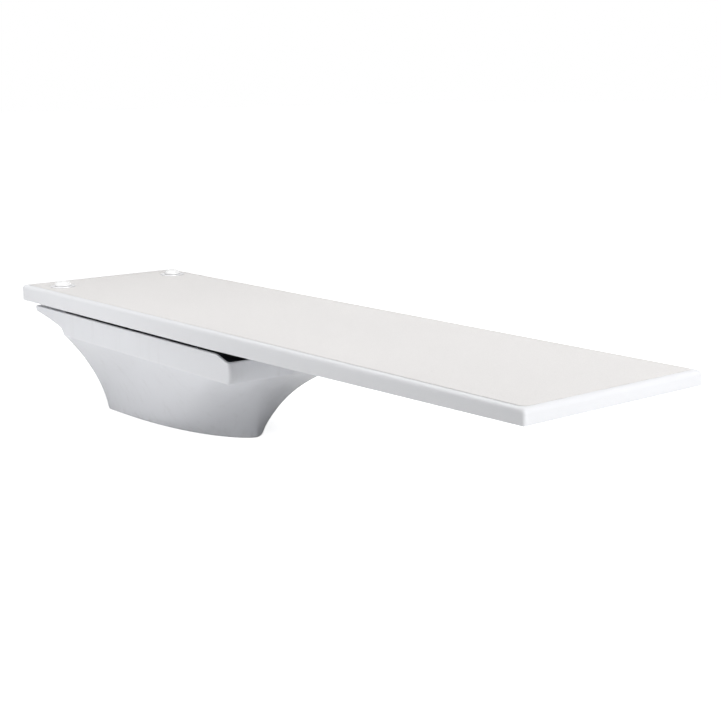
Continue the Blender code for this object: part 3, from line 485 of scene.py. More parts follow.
def cap_plastic():
    """Gloss white plastic with a faint moulding swirl and fine scratches."""
    finish = Finish("cap_white", settings("colours").cap)
    graph = finish.graph
    swirl = finish.noise(75.0, 3.0)
    scratches = finish.noise((900.0, 160.0, 160.0), 4.0, 0.7)
    return finish.set(
        base_color=finish.blend(swirl, 0.985, 1.01),
        roughness=0.20 + 0.16 * graph.remap(scratches, 0.45, 0.75),
        normal=graph.bump(swirl, 0.0001, 0.15),
        coat_weight=0.2)


def turned_steel():
    """Stainless steel with rings from the lathe about the heel bolts."""
    finish = Finish("steel_turned", settings("colours").steel)
    graph = finish.graph
    across = abs(finish.axis("Y")) - HEEL_BOLT.y
    along = finish.axis("X") - HEEL_BOLT.x
    radius = (across * across + along * along).math("SQRT")
    rings = (radius * 9000.0).math("SINE") * 0.5 + 0.5
    uneven = finish.noise(140.0, 4.0)
    stains = graph.remap(finish.noise(60.0, 5.0, 0.65), 0.55, 0.80)
    return finish.set(
        base_color=finish.blend(stains * 0.35, 1.0, 0.72),
        metallic=1.0,
        roughness=0.26 + 0.10 * rings + 0.16 * uneven,
        normal=graph.bump(rings * uneven, 0.00003, 0.35))


def bright_steel():
    """Zinc-bright fasteners: mottled, with the fine grain of rolled threads."""
    finish = Finish("steel_fastener", settings("colours").steel)
    graph = finish.graph
    grain = finish.noise((300.0, 300.0, 2600.0))
    spots = graph.remap(finish.noise(170.0, 5.0, 0.7), 0.58, 0.78)
    dulled = finish.blend(finish.cells(420.0), 0.86, 1.06)
    return finish.set(
        base_color=graph.mix(spots * 0.4, dulled, RUST),
        metallic=1.0,
        roughness=0.30 + 0.14 * grain + 0.22 * spots,
        normal=graph.bump(grain, 0.00004, 0.4))


def frame_paint():
    """Dark powder coat: orange peel, a few chips, and a little dust on what faces up."""
    finish = Finish("powder_coat", settings("colours").paint)
    graph = finish.graph
    peel = finish.noise(520.0)
    dust = finish.noise(38.0, 5.0, 0.65)
    up = graph.node("ShaderNodeSeparateXYZ", None, {0: graph.node("ShaderNodeNewGeometry", output=1)}, 2)
    dusty = graph.remap(up, 0.5, 0.95) * graph.remap(dust, 0.40, 0.70) * 0.30
    chips = graph.remap(finish.noise(150.0, 6.0, 0.75), 0.70, 0.74)
    chipped = finish.blend(chips * 0.5, 1.0, 3.2)
    return finish.set(
        base_color=graph.mix(dusty, chipped, DUST),
        roughness=0.42 + 0.12 * peel + 0.30 * dusty,
        normal=graph.bump(peel, 0.00012, 0.5))


def weld_metal():
    """Weld beads under the same paint, rougher and a little brighter."""
    finish = Finish("weld_bead", settings("colours").paint)
    rough = finish.noise(700.0, 3.0)
    return finish.set(
        base_color=finish.blend(rough, 0.9, 1.8),
        roughness=0.45 + 0.2 * rough,
        normal=finish.graph.bump(rough, 0.0002, 0.5))


def rubber():
    """Black rubber with bloom and moulding grain."""
    finish = Finish("rubber_black", settings("colours").rubber)
    graph = finish.graph
    bloom = graph.remap(finish.noise(70.0, 5.0, 0.7), 0.45, 0.75)
    grain = finish.noise(1800.0)
    return finish.set(
        base_color=graph.mix(bloom * 0.5, finish.shade(), BLOOM),
        roughness=0.70 + 0.16 * grain + 0.08 * bloom,
        normal=graph.bump(grain, 0.0001, 0.6))


def nylon():
    """Machined nylon, slightly cloudy, with faint turning marks."""
    finish = Finish("nylon_natural", settings("colours").nylon)
    marks = finish.noise((40.0, 40.0, 3200.0), 1.0)
    return finish.set(
        base_color=finish.blend(finish.noise(120.0, 3.0), 0.93, 1.05),
        roughness=0.42 + 0.12 * marks,
        normal=finish.graph.bump(marks, 0.00005, 0.4))


def timber():
    """Laminated softwood: strips across the width, with grain along the board."""
    finish = Finish("timber_core", settings("colours").timber)
    graph = finish.graph
    strips = finish.axis("Y") * 24.0
    strip = strips.math("FLOOR")
    shifted = graph.node("ShaderNodeCombineXYZ", None, {0: strip * 3.7, 1: strip * 1.3, 2: 0.0})
    along = graph.vector("MULTIPLY", finish.place, (1.5, 30.0, 30.0))
    grain = graph.noise(graph.vector("ADD", along, shifted), 1.0, 6.0, 0.62)
    seam = graph.remap(abs(strips.math("FRACT") - 0.5), 0.47, 0.5)
    wood = finish.blend(graph.remap(grain, 0.35, 0.65), 0.72, 1.15)
    return finish.set(
        base_color=graph.mix(seam * 0.7, wood, finish.shade(0.35)),
        roughness=0.55 + 0.2 * grain,
        normal=graph.bump(grain, 0.0003, 0.3))


# Meshes

def loft(rings, closed=False):
    """Points and faces of a surface through rings of equal count, capped unless it closes on itself."""
    count = len(rings[0])
    points = [point for ring in rings for point in ring]
    pairs = [(i, i + 1) for i in range(len(rings) - 1)]
    if closed:
        pairs.append((len(rings) - 1, 0))
    faces = []
    for a, b in pairs:
        for k in range(count):
            after = (k + 1) % count
            faces.append((a * count + k, a * count + after, b * count + after, b * count + k))
    if not closed:
        faces.append(tuple(range(count)))
        faces.append(tuple(range((len(rings) - 1) * count, len(rings) * count)))
    return points, faces


def linked(name, data):
    """A new object in the scene that shows data."""
    obj = bpy.data.objects.new(name, data)
    bpy.context.scene.collection.objects.link(obj)
    return obj


def smoothed(mesh, sharp):
    """Shades a mesh smooth, apart from the edges that bend by more than sharp degrees."""
    mesh.shade_smooth()
    mesh.set_sharp_from_angle(angle=math.radians(sharp))


def piece(name, points, faces, material=None, sharp=PLAIN_SHARP):
    """A mesh object at the origin with doubles merged, normals outward and sharp edges kept."""
    mesh = bpy.data.meshes.new(name)
    shape = bmesh.new()
    corners = [shape.verts.new(point) for point in points]
    for face in faces:
        shape.faces.new([corners[k] for k in face])
    bmesh.ops.remove_doubles(shape, verts=shape.verts, dist=MERGE)
    bmesh.ops.dissolve_degenerate(shape, edges=shape.edges, dist=MERGE)
    bmesh.ops.recalc_face_normals(shape, faces=shape.faces)
    shape.to_mesh(mesh)
    shape.free()
    smoothed(mesh, sharp)
    if material:
        mesh.materials.append(material)
    return linked(name, mesh)


def guide(name, points, edges=()):
    """A mesh of bare points and edges, on which a tree grows its copies."""
    mesh = bpy.data.meshes.new(name)
    mesh.from_pydata(points, edges, [])
    return linked(name, mesh)


def baked(obj, sharp=PLAIN_SHARP):
    """The object as its modifiers make it, as a plain mesh without them."""
    bpy.context.view_layer.update()
    graph = bpy.context.evaluated_depsgraph_get()
    mesh = bpy.data.meshes.new_from_object(obj.evaluated_get(graph), depsgraph=graph)
    mesh.name = obj.name
    obj.modifiers.clear()
    obj.data = mesh
    smoothed(mesh, sharp)
    return obj


def discard(objects):
    """Removes cutters and sources that have done their work."""
    for obj in objects:
        bpy.data.objects.remove(obj, do_unlink=True)


def carved(obj, cutters, sharp=PLAIN_SHARP):
    """Takes the cutters out of obj."""
    for cutter in cutters:
        modifier = obj.modifiers.new(cutter.name, "BOOLEAN")
        modifier.operation = "DIFFERENCE"
        modifier.solver = "EXACT"
        modifier.object = cutter
    baked(obj, sharp)
    discard(cutters)


def circle(radius, z, at=(0.0, 0.0), sides=64, flats=0):
    """A level ring: round, or a polygon whose half width across flats is radius."""
    ring = []
    for k in range(sides):
        angle = 2 * math.pi * k / sides
        reach = radius
        if flats:
            step = 2 * math.pi / flats
            reach = radius / math.cos((angle + step / 2) % step - step / 2)
        ring.append((at[0] + reach * math.cos(angle), at[1] + reach * math.sin(angle), z))
    return ring


def box_of(name, low, high):
    """A box between two corners."""
    corners = [(low[0], low[1]), (high[0], low[1]), (high[0], high[1]), (low[0], high[1])]
    return piece(name, *loft([[(x, y, z) for x, y in corners] for z in (low[2], high[2])]))


def drill(name, x, y, radius, low, high):
    """An upright cutter for a round hole."""
    return piece(name, *loft([circle(radius, z, (x, y)) for z in (low, high)]))


def heel_drills(name, radius, low, high):
    """A cutter round each heel bolt."""
    return [drill(name + side, HEEL_BOLT.x, sign * HEEL_BOLT.y, radius, low, high) for side, sign in SIDES]


def round_size(node):
    """Radius, height and lowest level of a round CAD node."""
    low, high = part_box(node)
    return (high.x - low.x) / 2, high.z - low.z, low.z


def bend(steps, whole=False):
    """A quarter circle in steps: shares of its radius gained one way and left to go the other way."""
    angles = [math.pi / 2 * k / steps for k in range(steps + whole)]
    return [(1 - math.cos(angle), 1 - math.sin(angle)) for angle in angles]


def eased(value):
    """A soft step from 0 to 1."""
    value = min(max(value, 0.0), 1.0)
    return value * value * (3 - 2 * value)


def mirrored(half):
    """A whole ring from its half on +Y, which runs from the rear middle to the nose."""
    return half + [(x, -y, z) for x, y, z in reversed(half[1:-1])]


class Moulding:
    """The form of the base, as rings that run from the foot up over the rim and down inside."""

    REAR, CORNER, SIDE, FRONT, NOSE = 10, 12, 34, 26, 14
    LIP_SIDE = 6
    BAND_CORNER, BAND_NOSE = 8, 8
    LEVELS = 44
    # Shares of the half width at which the sides end and the nose starts
    SIDE_END, NOSE_START = 0.985, 0.35
    # Shares of the bands' height: the plain rings, and how far up the lip's end is rounded
    CLIMBS = (0.06, 0.12, 0.18, 0.24, 0.30, 0.36, 0.44, 0.52, 0.60, 0.68, 0.76, 0.84, 0.91)
    LIP_ROUNDED = 0.36
    # How fast the lip's end comes out over the bands' lower edge
    LIP_UNDER = 4

    def __init__(self):
        body = settings("pedestal")
        band = settings("bands")
        self.body = body
        self.band = band
        self.rim = SHELL_HIGH.z
        self.shoulder = self.rim - body.band_height
        self.foot_rear = -body.foot_length / 2
        self.foot_nose = body.foot_length / 2
        self.rear = self.foot_rear - body.rear_overhang
        self.front = SHELL_HIGH.x
        self.limit = self.front + body.front_fillet - body.front_step
        self.half = HALF_WIDTH
        self.lip_end = SHELL_LOW.x
        self.lip_root = self.rear - band.lip_root_step
        self.lip_bend = self.lip_root + band.lip_root_run
        self.root_z = self.rim - band.lip_root_depth
        self.end_z = self.rim - band.lip_end_depth

    def lower_edge(self, x):
        """Height at x of the lower edge of the lip and the bands."""
        if x < self.lip_root:
            run = (self.lip_root - x) / (self.lip_root - self.lip_end)
            return self.root_z + (self.end_z - self.root_z) * run
        climb = min(1.0, max(0.0, (self.lip_bend - x) / self.band.lip_root_run))
        return self.shoulder + (self.root_z - self.shoulder) * climb

    def side_places(self, start, bend_end, end):
        """Places along a side: its start, then even steps from the lip's bend to its end."""
        step = (end - bend_end) / (self.SIDE - 1)
        return [start] + [bend_end + step * k for k in range(self.SIDE - 1)]

    def rear_outline(self, rear, corner, half, turns):
        """Half an outline from the middle of the rear round its corner."""
        plan = [(rear, (half - corner) * k / self.REAR) for k in range(self.REAR)]
        return plan + [(rear + corner * gained, half - corner * left) for gained, left in bend(turns)]

    def plan(self, level, inset):
        """Half the outline at a share of the shoulder's height, drawn in by inset."""
        body = self.body
        rounding = body.foot_rounding + (body.top_rounding - body.foot_rounding) * level
        rise = level ** body.fullness_rise
        fullness = body.foot_fullness + (body.top_fullness - body.foot_fullness) * rise
        corner = body.foot_corner + (body.top_corner - body.foot_corner) * level
        foot_half = body.foot_width / 2
        half = foot_half + (self.half - body.recess - foot_half) * level ** body.side_flare - inset
        rear = self.foot_rear - body.rear_overhang * level ** body.rear_flare + inset
        reach = self.foot_nose + (self.limit - self.foot_nose) * level ** body.front_flare
        blend = math.hypot(reach - self.limit, 2 * body.front_fillet)
        span = (reach + self.limit - blend) / 2 - inset - rear
        tuck = body.tuck * level

        def width(run):
            return half * (1 - run ** fullness) ** rounding - tuck * run

        def run_at(width_share):
            return (1 - width_share ** (1 / rounding)) ** (1 / fullness)

        plan = self.rear_outline(rear, corner, half, self.CORNER)
        bend_end = (self.lip_bend - self.rear) / span
        for run in self.side_places(corner / span, bend_end, run_at(self.SIDE_END)):
            plan.append((rear + span * run, width(run)))
        first = math.acos(self.SIDE_END ** (0.5 / rounding))
        last = math.acos(self.NOSE_START ** (0.5 / rounding))
        for k in range(self.FRONT):
            run = math.sin(first + (last - first) * k / self.FRONT) ** (2 / fullness)
            plan.append((rear + span * run, width(run)))
        for k in range(self.NOSE + 1):
            part = 1 - k / self.NOSE
            run = run_at(self.NOSE_START * part)
            plan.append((rear + span * run, half * self.NOSE_START * part - tuck * run * part))
        return plan

    def body_ring(self, height, inset=0.0, drop=0.0, floor=0.0):
        """A ring of the pedestal, which climbs further at the rear, up to the lip's root."""
        climb = ((height - floor) / (self.shoulder - floor)) ** self.band.lip_ease
        plan = self.plan((height - drop) / self.shoulder, inset)
        half = []
        for (x, y), (top_x, _) in zip(plan, self.plan(1.0, inset)):
            half.append((x, y, height + (self.lower_edge(top_x) - self.shoulder) * climb))
        return mirrored(half)

    def front_outline(self, front, start, half):
        """Half an outline from the band's side round its front corner to the middle."""
        run_start = front - self.band.dip_run
        corner = self.band.front_corner
        limit = self.NOSE_START * self.half
        run_steps = self.FRONT - self.BAND_CORNER - self.BAND_NOSE
        plan = [(x, half) for x in self.side_places(start, self.lip_bend, run_start)]
        for k in range(run_steps):
            plan.append((run_start + (self.band.dip_run - corner) * k / run_steps, half))
        for gained, left in bend(self.BAND_CORNER):
            plan.append((front - corner * left, half - corner * gained))
        for k in range(self.BAND_NOSE):
            plan.append((front, half - corner + (limit - half + corner) * k / self.BAND_NOSE))
        return plan + [(front, limit * (1 - k / self.NOSE)) for k in range(self.NOSE + 1)]

    def dip(self, x, front):
        """How far the rim is lowered at x."""
        return self.band.dip * eased((x - front + self.band.dip_run) / self.band.dip_run)

    def front_at(self, climb):
        """The front's bulging profile, which goes on from the nose and leans back to the rim."""
        low, high = self.band.front_set, self.band.front_lean
        rise = 2 * low + 2 * math.sqrt(low * high)
        return self.front - low + rise * climb - (rise + high - low) * climb * climb

    def band_ring(self, climb, inset=0.0, end_inset=0.0):
        """A ring of the lip and bands: climb is 0 at their lower edge and 1 at the rim."""
        half = self.half - inset
        front = self.front_at(climb) - inset
        end = self.lip_end + inset + end_inset
        corner = self.band.lip_corner
        plan = self.rear_outline(end, corner, half, self.CORNER - self.LIP_SIDE)
        for k in range(self.LIP_SIDE - 1):
            plan.append((end + corner + (self.lip_root - end - corner) * k / (self.LIP_SIDE - 2), half))
        plan.append((self.rear, half))
        plan += self.front_outline(front, self.rear + self.body.top_corner, half)
        ring = []
        for x, y in plan:
            low = self.lower_edge(x) + SEAT_GAP
            ring.append((x, y, low + (self.rim - low - self.dip(x, front)) * climb))
        return mirrored(ring)

    def well_ring(self, z, front_inset, dip):
        """A ring of the open well inside the bands."""
        half = self.half - self.body.wall
        front = self.front - front_inset
        rear = self.rear + self.body.wall
        corner = self.body.top_corner
        plan = self.rear_outline(rear, corner, half, self.CORNER)
        plan += self.front_outline(front, rear + corner, half)
        level = (self.rim - z) / self.body.band_height
        ring = []
        for (x, y), (top_x, _) in zip(plan, self.plan(1.0, self.body.wall)):
            lift = (self.lower_edge(top_x) - self.shoulder) * level
            ring.append((x, y, z + lift - dip * self.dip(x, front)))
        return mirrored(ring)

    def rings(self):
        """All rings in order: foot, body, bands and lip, rim, well and inner wall."""
        body, band = self.body, self.band
        rise = self.shoulder - body.foot_edge
        rings = []
        for gained, left in bend(6):
            rings.append(self.body_ring(body.foot_edge * gained, body.foot_edge * left))
        for k in range(self.LEVELS + 1):
            rings.append(self.body_ring(body.foot_edge + rise * k / self.LEVELS))
        for gained, left in bend(4):
            climb = band.under_edge * gained / body.band_height
            end_inset = band.lip_edge * (1 - climb * self.LIP_UNDER)
            rings.append(self.band_ring(climb, band.under_edge * left, end_inset))
        for climb in self.CLIMBS:
            bulge = max(0.0, 1 - climb / self.LIP_ROUNDED)
            rings.append(self.band_ring(climb, 0.0, band.lip_edge * bulge * bulge))
        edge = band.rim_edge / body.band_height
        for gained, left in bend(6, True):
            rings.append(self.band_ring(1 - edge * left, band.rim_edge * gained))
        inner = band.rim_edge / 2
        for gained, left in bend(3, True):
            front_inset = band.front_lean + body.wall - inner * left
            rings.append(self.well_ring(self.rim - inner * gained, front_inset, 1))
        rings.append(self.well_ring(self.shoulder + body.wall, body.front_step + body.wall, 0))
        for k in range(self.LEVELS + 1):
            height = self.shoulder - (self.shoulder - body.floor) * k / self.LEVELS
            rings.append(self.body_ring(height, body.wall, body.drop, body.floor))
        return rings


def anchor_holes():
    """Where the four deck anchors pass, from the plate's own place."""
    middle = centre("base_plate").x - ANCHOR_SETBACK
    return [(middle + a * ANCHOR_ALONG, b * ANCHOR_ACROSS) for a in (-1, 1) for b in (-1, 1)]


def moulded_base():
    """The base, with the backing bar's pocket, the bolt and anchor holes and the drain cut in it."""
    form = Moulding()
    shell = piece("moulded_base", *loft(form.rings()), gelcoat(), MOULDED_SHARP)
    room = settings("bands").pocket_clearance
    low = (BAR_LOW.x - room, BAR_LOW.y - room, form.shoulder)
    high = (BAR_HIGH.x + room, BAR_HIGH.y + room, BAR_HIGH.z + SEAT_GAP)
    cutters = [box_of("bar_pocket", low, high)]
    cutters += heel_drills("bolt_hole_", LIP_BORE, form.shoulder, LIP_CUT_TOP)
    for k, (x, y) in enumerate(anchor_holes()):
        cutters.append(drill(f"anchor_hole_{k}", x, y, ANCHOR_BORE, FLOOR_CUT_LOW, ANCHOR_CUT_TOP))
    drain = form.foot_nose - DRAIN_SETBACK
    cutters.append(drill("drain_hole", drain, 0, DRAIN_BORE, FLOOR_CUT_LOW, DRAIN_CUT_TOP))
    carved(shell, cutters, MOULDED_SHARP)
    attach(shell, "base")
    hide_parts("stand_shell")


def arc_inset(distance, radius):
    """How far a rounded corner draws in at a distance from the end that it rounds off."""
    rest = max(0.0, radius - distance)
    return radius - math.sqrt(radius * radius - rest * rest)


def underside_at(x):
    """Height of the board's underside, which rises from the taper's start to the tip."""
    sizes = settings("board")
    taper = BOARD_LOW.x + sizes.taper_start
    run = max(0.0, (x - taper) / (BOARD_HIGH.x - taper))
    return BOARD_LOW.z + (BOARD_HIGH.z - BOARD_LOW.z - sizes.tip_thickness) * run


def board_section(x, steps=9):
    """The board's outline across at x, with rounded edges and ends."""
    sizes = settings("board")
    end = min(x - BOARD_LOW.x, BOARD_HIGH.x - x)
    half = HALF_WIDTH - arc_inset(end, sizes.corner)
    drop = max(arc_inset(x - BOARD_LOW.x, sizes.heel_edge), arc_inset(BOARD_HIGH.x - x, sizes.top_edge))
    rise = arc_inset(end, sizes.bottom_edge)
    top = BOARD_HIGH.z - drop
    low = underside_at(x) + rise
    top_radius = max(sizes.top_edge - drop, sizes.least_edge)
    low_radius = max(sizes.bottom_edge - rise, sizes.least_edge)
    ring = []
    for gained, left in bend(steps, True):
        ring.append((x, half - top_radius * left, top - top_radius * gained))
    for gained, left in bend(steps, True):
        ring.append((x, half - low_radius * gained, low + low_radius * left))
    return ring + [(x, -y, z) for _, y, z in reversed(ring)]


def board_places(steps=10, spans=6):
    """Places along the board, close together on its rounded ends."""
    sizes = settings("board")
    ends = {0.0}
    for radius in (sizes.bottom_edge, sizes.heel_edge, sizes.corner, sizes.top_edge):
        for gained, _ in bend(steps, True)[1:]:
            ends.add(round(radius * gained, 7))
    ends = sorted(ends)
    heel, tip = BOARD_LOW.x, BOARD_HIGH.x
    start = heel + sizes.taper_start
    middle = [heel + SECTION_STEP * k for k in range(1, spans)] + [start]
    middle += [start + (tip - start) * k / spans for k in range(1, spans)]
    return [heel + d for d in ends] + middle + [tip - d for d in reversed(ends)]


def board_skin():
    """The board's skin, hollow round its core and open for the bushings."""
    sections = [board_section(x) for x in board_places()]
    body = piece("board_moulding", *loft(sections), board_moulding(), MOULDED_SHARP)
    half = CORE_HIGH.y + SEAT_GAP
    high = CORE_HIGH.z + SEAT_GAP
    taper = BOARD_LOW.x + settings("board").taper_start
    rings = []
    for x in (CORE_LOW.x - SEAT_GAP, taper, CORE_HIGH.x + SEAT_GAP):
        low = underside_at(x) + CORE_LOW.z - BOARD_LOW.z - SEAT_GAP
        rings.append([(x, -half, low), (x, half, low), (x, half, high), (x, -half, high)])
    radius, height, seat = round_size("board_bushing_left")
    cutters = [piece("core_space", *loft(rings))]
    low, high = seat - BUSHING_CUT_OVER, seat + height + BUSHING_CUT_OVER
    cutters += heel_drills("bushing_hole_", radius + SEAT_GAP, low, high)
    carved(body, cutters, MOULDED_SHARP)
    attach(body, "board")
    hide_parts("board_skin")


def rounded_plan(low, high, radius, inset, z, steps=8):
    """A level oblong ring with rounded corners."""
    ring = []
    corners = ((high.x, high.y, 0), (low.x, high.y, 1), (low.x, low.y, 2), (high.x, low.y, 3))
    middle = (low + high) / 2
    for x, y, turn in corners:
        at_x = x - math.copysign(radius, x - middle.x)
        at_y = y - math.copysign(radius, y - middle.y)
        for k in range(steps + 1):
            angle = math.pi / 2 * (turn + k / steps)
            reach = radius - inset
            ring.append((at_x + reach * math.cos(angle), at_y + reach * math.sin(angle), z))
    return ring


def geometry_tree(name, inputs):
    """A Geometry Nodes tree with named inputs: its graph, its input sockets and its output node."""
    tree = bpy.data.node_groups.new(name, "GeometryNodeTree")
    tree.interface.new_socket("Geometry", in_out="OUTPUT", socket_type="NodeSocketGeometry")
    tree.interface.new_socket("Geometry", in_out="INPUT", socket_type="NodeSocketGeometry")
    for label, kind in inputs.items():
        tree.interface.new_socket(label, in_out="INPUT", socket_type="NodeSocket" + kind)
    entry = tree.nodes.new("NodeGroupInput")
    graph = Graph(tree)
    sockets = {socket.name: Signal(graph, socket) for socket in entry.outputs if socket.name}
    return graph, sockets, tree.nodes.new("NodeGroupOutput")


def grown(obj, tree, values):
    """obj with a Geometry Nodes tree run on it and turned into a plain mesh."""
    modifier = obj.modifiers.new(tree.name, "NODES")
    modifier.node_group = tree
    for item in tree.interface.items_tree:
        if item.in_out == "INPUT" and item.name in values:
            modifier[item.identifier] = values[item.name]
    return baked(obj)


def finished(graph, geometry, material, leave):
    """Ends a tree in Realize Instances and Set Material."""
    real = graph.node("GeometryNodeRealizeInstances", None, {"Geometry": geometry})
    painted = graph.node("GeometryNodeSetMaterial", None, {"Geometry": real, "Material": material})
    graph.feed(leave.inputs[0], painted)
    return graph.tree


def grit_tree():
    """Scatters flat-bottomed grains on the faces that look up, and keeps the layer under them."""
    graph, given, leave = geometry_tree(
        "scatter_grit", {"Density": "Float", "Size": "Float", "Seed": "Int", "Material": "Material"})
    normal = graph.node("GeometryNodeInputNormal")
    up = graph.node("ShaderNodeSeparateXYZ", None, {0: normal}, 2)
    level = graph.node("FunctionNodeCompare", {"operation": "GREATER_THAN"}, {0: up, 1: 0.95})
    points = graph.node("GeometryNodeDistributePointsOnFaces", {"distribute_method": "RANDOM"}, {
        "Mesh": given["Geometry"], "Selection": level, "Seed": given["Seed"],
        "Density": given["Density"]}, "Points")
    grain = graph.node("GeometryNodeMeshCone", None, {
        "Vertices": 5, "Radius Top": 0.22, "Radius Bottom": 0.5, "Depth": 0.38})
    turn = graph.node("FunctionNodeRandomValue", {"data_type": "FLOAT_VECTOR"}, {
        0: (-0.25, -0.25, 0.0), 1: (0.25, 0.25, FULL_TURN), "Seed": given["Seed"]})
    ratio = graph.node("FunctionNodeRandomValue", {"data_type": "FLOAT_VECTOR"}, {
        0: (0.55, 0.55, 0.5), 1: (1.25, 1.25, 1.0), "Seed": given["Seed"] + 1})
    size = graph.node("ShaderNodeVectorMath", {"operation": "SCALE"}, {0: ratio, "Scale": given["Size"]})
    grains = graph.node("GeometryNodeInstanceOnPoints", None, {
        "Points": points, "Instance": grain, "Rotation": turn, "Scale": size})
    both = graph.node("GeometryNodeJoinGeometry")
    for part in (grains, given["Geometry"]):
        graph.feed(both.socket.node.inputs[0], part)
    return finished(graph, both, given["Material"], leave)


def tread_layer():
    """The gritty layer on the board's top, cut out round the washers."""
    sizes = settings("board")
    rings = [rounded_plan(TREAD_LOW, TREAD_HIGH, sizes.tread_corner, 0, TREAD_LOW.z)]
    for gained, left in bend(3, True):
        z = TREAD_HIGH.z - sizes.tread_edge * left
        rings.append(rounded_plan(TREAD_LOW, TREAD_HIGH, sizes.tread_corner, sizes.tread_edge * gained, z))
    layer = piece("tread_layer", *loft(rings))
    radius = round_size("top_washer_left")[0] + sizes.tread_clearance
    carved(layer, heel_drills("washer_hole_", radius, TREAD_CUT_LOW, TREAD_CUT_TOP))
    grown(layer, grit_tree(), {
        "Density": sizes.grit_density, "Size": sizes.grit_size, "Seed": sizes.grit_seed,
        "Material": tread_coat()})
    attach(layer, "board")
    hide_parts("tread")


def copies_tree():
    """Puts copies of a source object on the points of a mesh, each turned by its own angle."""
    graph, given, leave = geometry_tree(
        "place_copies", {"Source": "Object", "Turn": "Float", "Seed": "Int", "Material": "Material"})
    points = graph.node("GeometryNodeMeshToPoints", None, {"Mesh": given["Geometry"]})
    source = graph.node("GeometryNodeObjectInfo", None, {"Object": given["Source"]}, "Geometry")
    angle = graph.node("FunctionNodeRandomValue", {"data_type": "FLOAT"}, {
        2: 0.0, 3: given["Turn"], "Seed": given["Seed"]}, 1)
    turn = graph.node("ShaderNodeCombineXYZ", None, {2: angle})
    copies = graph.node("GeometryNodeInstanceOnPoints", None, {
        "Points": points, "Instance": source, "Rotation": turn})
    return finished(graph, copies, given["Material"], leave)


def repeated(name, source, nodes, z, material, body):
    """One piece of copies of source, seated at z where those CAD nodes are and in their stead.

    The seed of the copies' turns is the length of the piece's name.
    """
    group = guide(name, [(centre(node).x, centre(node).y, z) for node in nodes])
    tree = bpy.data.node_groups.get("place_copies") or copies_tree()
    grown(group, tree, {"Source": source, "Turn": FULL_TURN, "Seed": len(name), "Material": material})
    discard([source])
    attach(group, body)
    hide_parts(*nodes)


def turned(name, profile):
    """A ring turned about Z from (radius, height) pairs that close on themselves."""
    return piece(name, *loft([circle(radius, z) for radius, z in profile], closed=True))


def rounded_washer(name, bore, radius, thickness, edge, crown=0.0):
    """A washer with rounded edges, and a top that may rise towards the bore."""
    profile = [(bore, 0.0), (radius - edge * 0.4, 0.0)]
    for gained, left in bend(6, True):
        profile.append((radius - edge * gained, thickness - crown - edge * left))
    profile.append((bore + edge, thickness))
    profile.append((bore, thickness - edge * 0.3))
    return turned(name, profile)


def dome(radius, height, steps=18, start=88.5, fullness=0.7):
    """A low dome from close by its crown, start degrees up, down to its brim."""
    profile = []
    for k in range(steps + 1):
        angle = math.radians(start) * (1 - k / steps)
        profile.append((radius * math.cos(angle) ** fullness, height * math.sin(angle)))
    return profile


def cap_source(height):
    """A hollow domed cap, drawn about the Z axis."""
    sizes = settings("hardware")
    outer = dome(sizes.cap_radius, height)[:-1]
    inner = reversed(dome(sizes.cap_radius - sizes.cap_wall, height - sizes.cap_wall))
    brim = [(sizes.cap_radius, BRIM_HEIGHT), (sizes.cap_radius - BRIM_BEVEL, 0.0)]
    rings = [circle(radius, z) for radius, z in (*outer, *brim, *inner)]
    return piece("cap_source", *loft(rings), sharp=DOMED_SHARP)


def threaded(radius, low, high):
    """Rings of a threaded shank, with a crest that winds up it and fades at both ends."""
    sizes = settings("hardware")
    steps = max(2, round((high - low) / sizes.thread_pitch * THREAD_RINGS))
    rings = []
    for row in range(steps + 1):
        z = low + (high - low) * row / steps
        fade = min(1.0, (z - low) / sizes.thread_pitch, (high - z) / sizes.thread_pitch)
        ring = []
        for k in range(HEX_SIDES):
            angle = 2 * math.pi * k / HEX_SIDES
            wave = abs(((z / sizes.thread_pitch - k / HEX_SIDES) % 1) * 2 - 1)
            reach = radius - sizes.thread_depth * wave * fade
            ring.append((reach * math.cos(angle), reach * math.sin(angle), z))
        rings.append(ring)
    return rings


def hex_rings(profile):
    """Rings from (radius, height, flats) rows, where flats is 6 for a hexagon and 0 for a circle."""
    return [circle(radius, z, sides=HEX_SIDES, flats=flats) for radius, z, flats in profile]


def bolt_source(node, radius, plain):
    """A hex bolt whose seat is at the CAD node's own head, drawn about the Z axis."""
    low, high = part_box(node)
    flats = radius * HEX_FLATS
    head = radius * HEX_HEAD
    seat = high.z - head
    reach = seat - low.z
    chamfer = settings("hardware").head_chamfer
    rings = hex_rings([(radius - chamfer, -reach, 0)])
    rings += threaded(radius, -reach + chamfer, -reach * plain)
    rings += hex_rings([
        (radius, 0.0, 0),
        (flats - chamfer / 2, 0.0, 0),
        (flats - chamfer / 2, chamfer / 3, 0),
        (flats, chamfer / 3, 6),
        (flats, head - chamfer, 6),
        (flats - chamfer / 2, head, 0),
        (flats - chamfer * 1.6, head, 0),
        (flats - chamfer * 1.9, head - chamfer / 4, 0)])
    return piece(node + "_source", *loft(rings), sharp=HEX_SHARP), seat


def nut_source(node, radius):
    """A hex nut whose upper face is at zero, chamfered on both sides."""
    height = round_size(node)[1]
    chamfer = settings("hardware").head_chamfer
    flats = radius * HEX_FLATS
    bore = radius + SEAT_GAP
    rings = hex_rings([
        (bore, -chamfer / 2, 0),
        (bore + chamfer / 2, 0.0, 0),
        (flats - chamfer / 2, 0.0, 0),
        (flats, -chamfer, 6),
        (flats, chamfer - height, 6),
        (flats - chamfer / 2, -height, 0),
        (bore + chamfer / 2, -height, 0),
        (bore, chamfer / 2 - height, 0)])
    return piece(node + "_source", *loft(rings, closed=True), sharp=HEX_SHARP)


def both_sides(prefix):
    """The names of a piece's left and right nodes."""
    return [f"{prefix}_{side}" for side, _ in SIDES]


